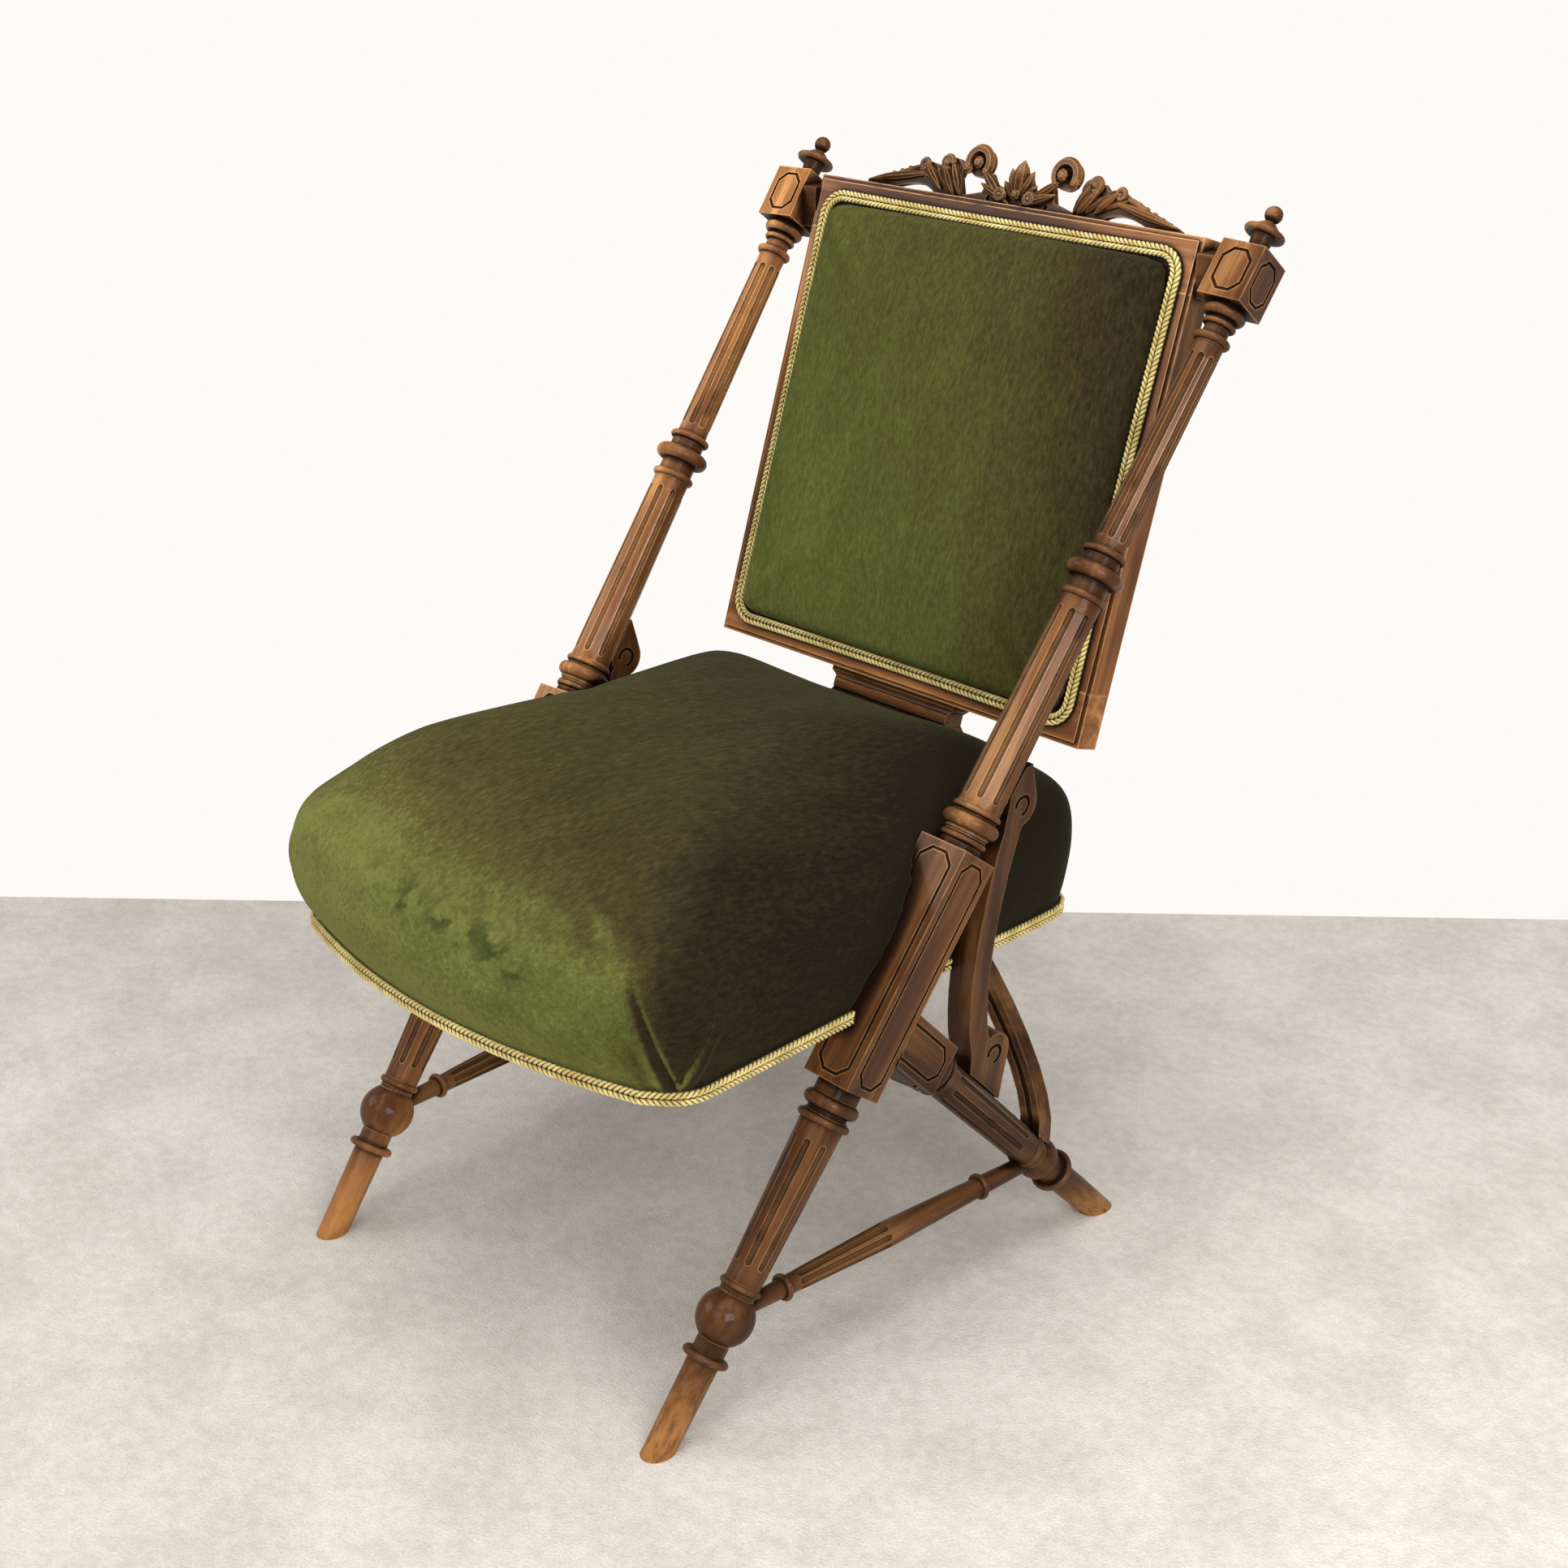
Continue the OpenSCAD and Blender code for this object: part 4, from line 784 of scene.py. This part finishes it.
def traced(node, centre, plane_x, plane_y, inward):
    """Runs of points round a flat ring of braid, found by rays in its plane."""
    tree = tree_of(wood[node])
    across = plane_x.cross(plane_y).normalized()
    runs, run, rays = [], [], 2400
    for i in range(rays + 1):
        a = math.tau * i / rays - math.pi / 2 + 0.3
        way = math.cos(a) * plane_x + math.sin(a) * plane_y
        hit = tree.ray_cast(centre + way * 0.6, -way, 0.6)[0]
        if hit is None:
            if len(run) > 8:
                runs.append(run)
            run = []
            continue
        run.append(hit - way * inward)
    runs.append(run)
    made = []
    for run in runs:
        run = evened(run, POINT_GAP)
        rows = []
        for i, p in enumerate(run):
            way = (run[min(i + 3, len(run) - 1)] - run[max(i - 3, 0)]).normalized()
            rows.append((p, way.cross(across).normalized(), across))
        made.append(rows)
    return made


# The seat tips back a little, and its braid lies just above the rails' foot.
SEAT_TIP, SEAT_FOOT, BRAID_UP = math.radians(1.4), 0.291, 0.0040
pitch_up = Vector((0, math.cos(SEAT_TIP), -math.sin(SEAT_TIP)))
gimp_mid = Vector((0, 0.0, SEAT_FOOT + BRAID_UP + math.tan(SEAT_TIP) * FRONT_FEET_Y))
seat_runs = traced("seat_gimp", gimp_mid, Vector((1, 0, 0)), pitch_up, inward=0.0018)
braid("seat_braid", seat_runs, width=0.0112, node="seat_gimp")

up_back = Vector(upright)
off_back = Vector((0, -math.cos(BACK_LEAN), math.sin(BACK_LEAN)))
back_mid = BACK_FOOT + up_back * BACK_MID_UP + off_back * 0.0015
ring = traced("back_gimp", back_mid, Vector((1, 0, 0)), up_back, inward=0.00475)
back_runs = [[(p, off_back, out) for p, out, _ in run] for run in ring]
braid("back_braid", back_runs, width=0.0098, node="back_gimp")

# Under the seat: interlaced jute webbing, folded over and tacked to the rails, four
# hourglass springs sewn to it, and hessian over them. They are seen only from below.


def on_seat(x, y, z):
    """A point on the seat's own plane: across, back from the front feet, and above the rails' foot."""
    return Vector((x, FRONT_FEET_Y + y * math.cos(SEAT_TIP) + z * math.sin(SEAT_TIP),
                   SEAT_FOOT - y * math.sin(SEAT_TIP) + z * math.cos(SEAT_TIP)))


def jute(name, along, across, threads):
    finish = Finish(name, Roughness=0.95)
    warp = (finish.along(along) * threads).sine()
    weft = (finish.along(across) * threads).sine()
    hairy = finish.noise(finish.place, 320, 3)
    finish.set("Base Color", finish.mix((warp * weft).step(-0.6, 0.8) * 0.6 + hairy * 0.4,
                                        (0.19, 0.125, 0.062), (0.46, 0.345, 0.195)))
    finish.set("Normal", finish.bump(warp * weft + hairy, 0.0008))
    return finish


STRAP_X, STRAP_Y, STRAP_STEPS = (-0.0805, 0.0805), (0.1595, 0.3095), 120
vertices, faces, tacks = [], [], []
for lane in range(4):
    lengthwise = lane < 2
    at = STRAP_X[lane] if lengthwise else STRAP_Y[lane - 2]
    low, high = (0.028, 0.441) if lengthwise else (-0.180, 0.180)
    crossings = STRAP_Y if lengthwise else STRAP_X
    sides = [(-0.025, 0.0007), (-0.0215, 0.0005), (0.0215, 0.0005), (0.025, 0.0007),
             (0.025, -0.0007), (0.0215, -0.0005), (-0.0215, -0.0005), (-0.025, -0.0007)]
    base = len(vertices)
    for i in range(STRAP_STEPS + 1):
        run = low + (high - low) * i / STRAP_STEPS
        height = -0.0010
        for k, crossing in enumerate(crossings):
            over = (lane + k) % 2 == 0
            height -= (0.0 if over else 0.0019) * math.exp(-((run - crossing) / 0.034) ** 4)
        for side, thick in sides:
            x, y = (at + side, run) if lengthwise else (run, at + side)
            vertices.append(on_seat(x, y, height + thick))
    for i in range(STRAP_STEPS):
        row, after = base + i * 8, base + i * 8 + 8
        faces.extend((row + k, row + (k + 1) % 8, after + (k + 1) % 8, after + k) for k in range(8))
    for end in (low, high):
        inward = 1 if end == low else -1
        base = len(vertices)
        for run in (end, end + inward * 0.018):
            for side, thick in sides:
                x, y = (at + side, run) if lengthwise else (run, at + side)
                vertices.append(on_seat(x, y, -0.0026 + thick))
        faces.extend((base + k, base + (k + 1) % 8, base + 8 + (k + 1) % 8, base + 8 + k) for k in range(8))
        faces.extend([tuple(range(base, base + 8)), tuple(range(base + 15, base + 7, -1))])
        for spot in (-0.019, -0.0095, 0.0, 0.0095, 0.019):
            run = end + inward * (0.006 + 0.004 * (round(spot * 1000) % 2))
            tacks.append((at + spot, run) if lengthwise else (run, at + spot))
straps = new_piece("webbing_straps", vertices, faces)
dress(straps, jute("jute_webbing", (1, 0, 0), (0, 1, 0), 2600))
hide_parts("seat_webbing")
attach(straps, "root")

steel = Finish("spring_wire", Metallic=0.9)
tarnish = steel.noise(steel.place, 160, 4)
steel.set("Base Color", steel.mix(tarnish.step(0.35, 0.65), (0.36, 0.29, 0.22), (0.15, 0.11, 0.085)))
steel.set("Roughness", 0.35 + 0.3 * tarnish)
vertices, faces = [], []
for x, y in tacks:
    base = len(vertices)
    for radius, depth in ((0.0026, -0.0032), (0.0022, -0.0036), (0.0010, -0.0039)):
        turns = [math.tau * k / 10 for k in range(10)]
        vertices.extend(on_seat(x + radius * math.cos(a), y + radius * math.sin(a), depth) for a in turns)
    for row in (base, base + 10):
        faces.extend((row + k, row + 10 + k, row + 10 + (k + 1) % 10, row + (k + 1) % 10) for k in range(10))
    faces.append(tuple(base + 20 + k for k in reversed(range(10))))
heads = new_piece("webbing_tacks", vertices, faces)
dress(heads, steel)
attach(heads, "root")

# Each spring is one wire of four turns, narrow in its middle and wide at both ends.
turns, steps, wire_r, spring_h, waist_r, flare = 4, 28, 0.0018, 0.044, 0.026, 0.018
vertices, faces = [], []
for x, y in ((x, y) for x in STRAP_X for y in STRAP_Y):
    coil = []
    for i in range(turns * steps + 1):
        t, a = i / (turns * steps), math.tau * i / steps
        radius = waist_r + flare * abs(2 * t - 1) ** 1.6
        coil.append(on_seat(x + radius * math.cos(a), y + radius * math.sin(a),
                            wire_r + t * (spring_h - 2 * wire_r)))
    tube(vertices, faces, coil, 0.00178, 10)
coils = new_piece("spring_coils", vertices, faces)
dress(coils, steel)
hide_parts("seat_springs")
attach(coils, "root")

# The hessian is cut to the rails: bowed at the front, round at the corners, narrower at the rear.
hessian_l, rear_edge, corner_r = 0.477, 0.4558, 0.026
vertices = []
for i in range(81):
    for j in range(81):
        v, u = i / 80, j / 40 - 1
        end = min(v, 1 - v) * hessian_l
        half = 0.2038 - 0.015 * v - corner_r + math.sqrt(corner_r ** 2 - max(0.0, corner_r - end) ** 2)
        x = u * half
        front = -0.0208 + 0.0310 * (x / 0.1785) ** 2
        y = front + v * (rear_edge - front)
        push = sum(math.exp(-(math.hypot(x - sx, y - sy) / 0.045) ** 4) for sx in STRAP_X for sy in STRAP_Y)
        vertices.append(on_seat(x, y, 0.0443 + 0.0009 * min(1.0, push)))
hessian = new_piece("hessian_cover", vertices, grid_faces(81, 81))
dress(hessian, jute("hessian", (1, 0, 0), (0, 1, 0), 3400))
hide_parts("seat_hessian")
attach(hessian, "root")

low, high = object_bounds()
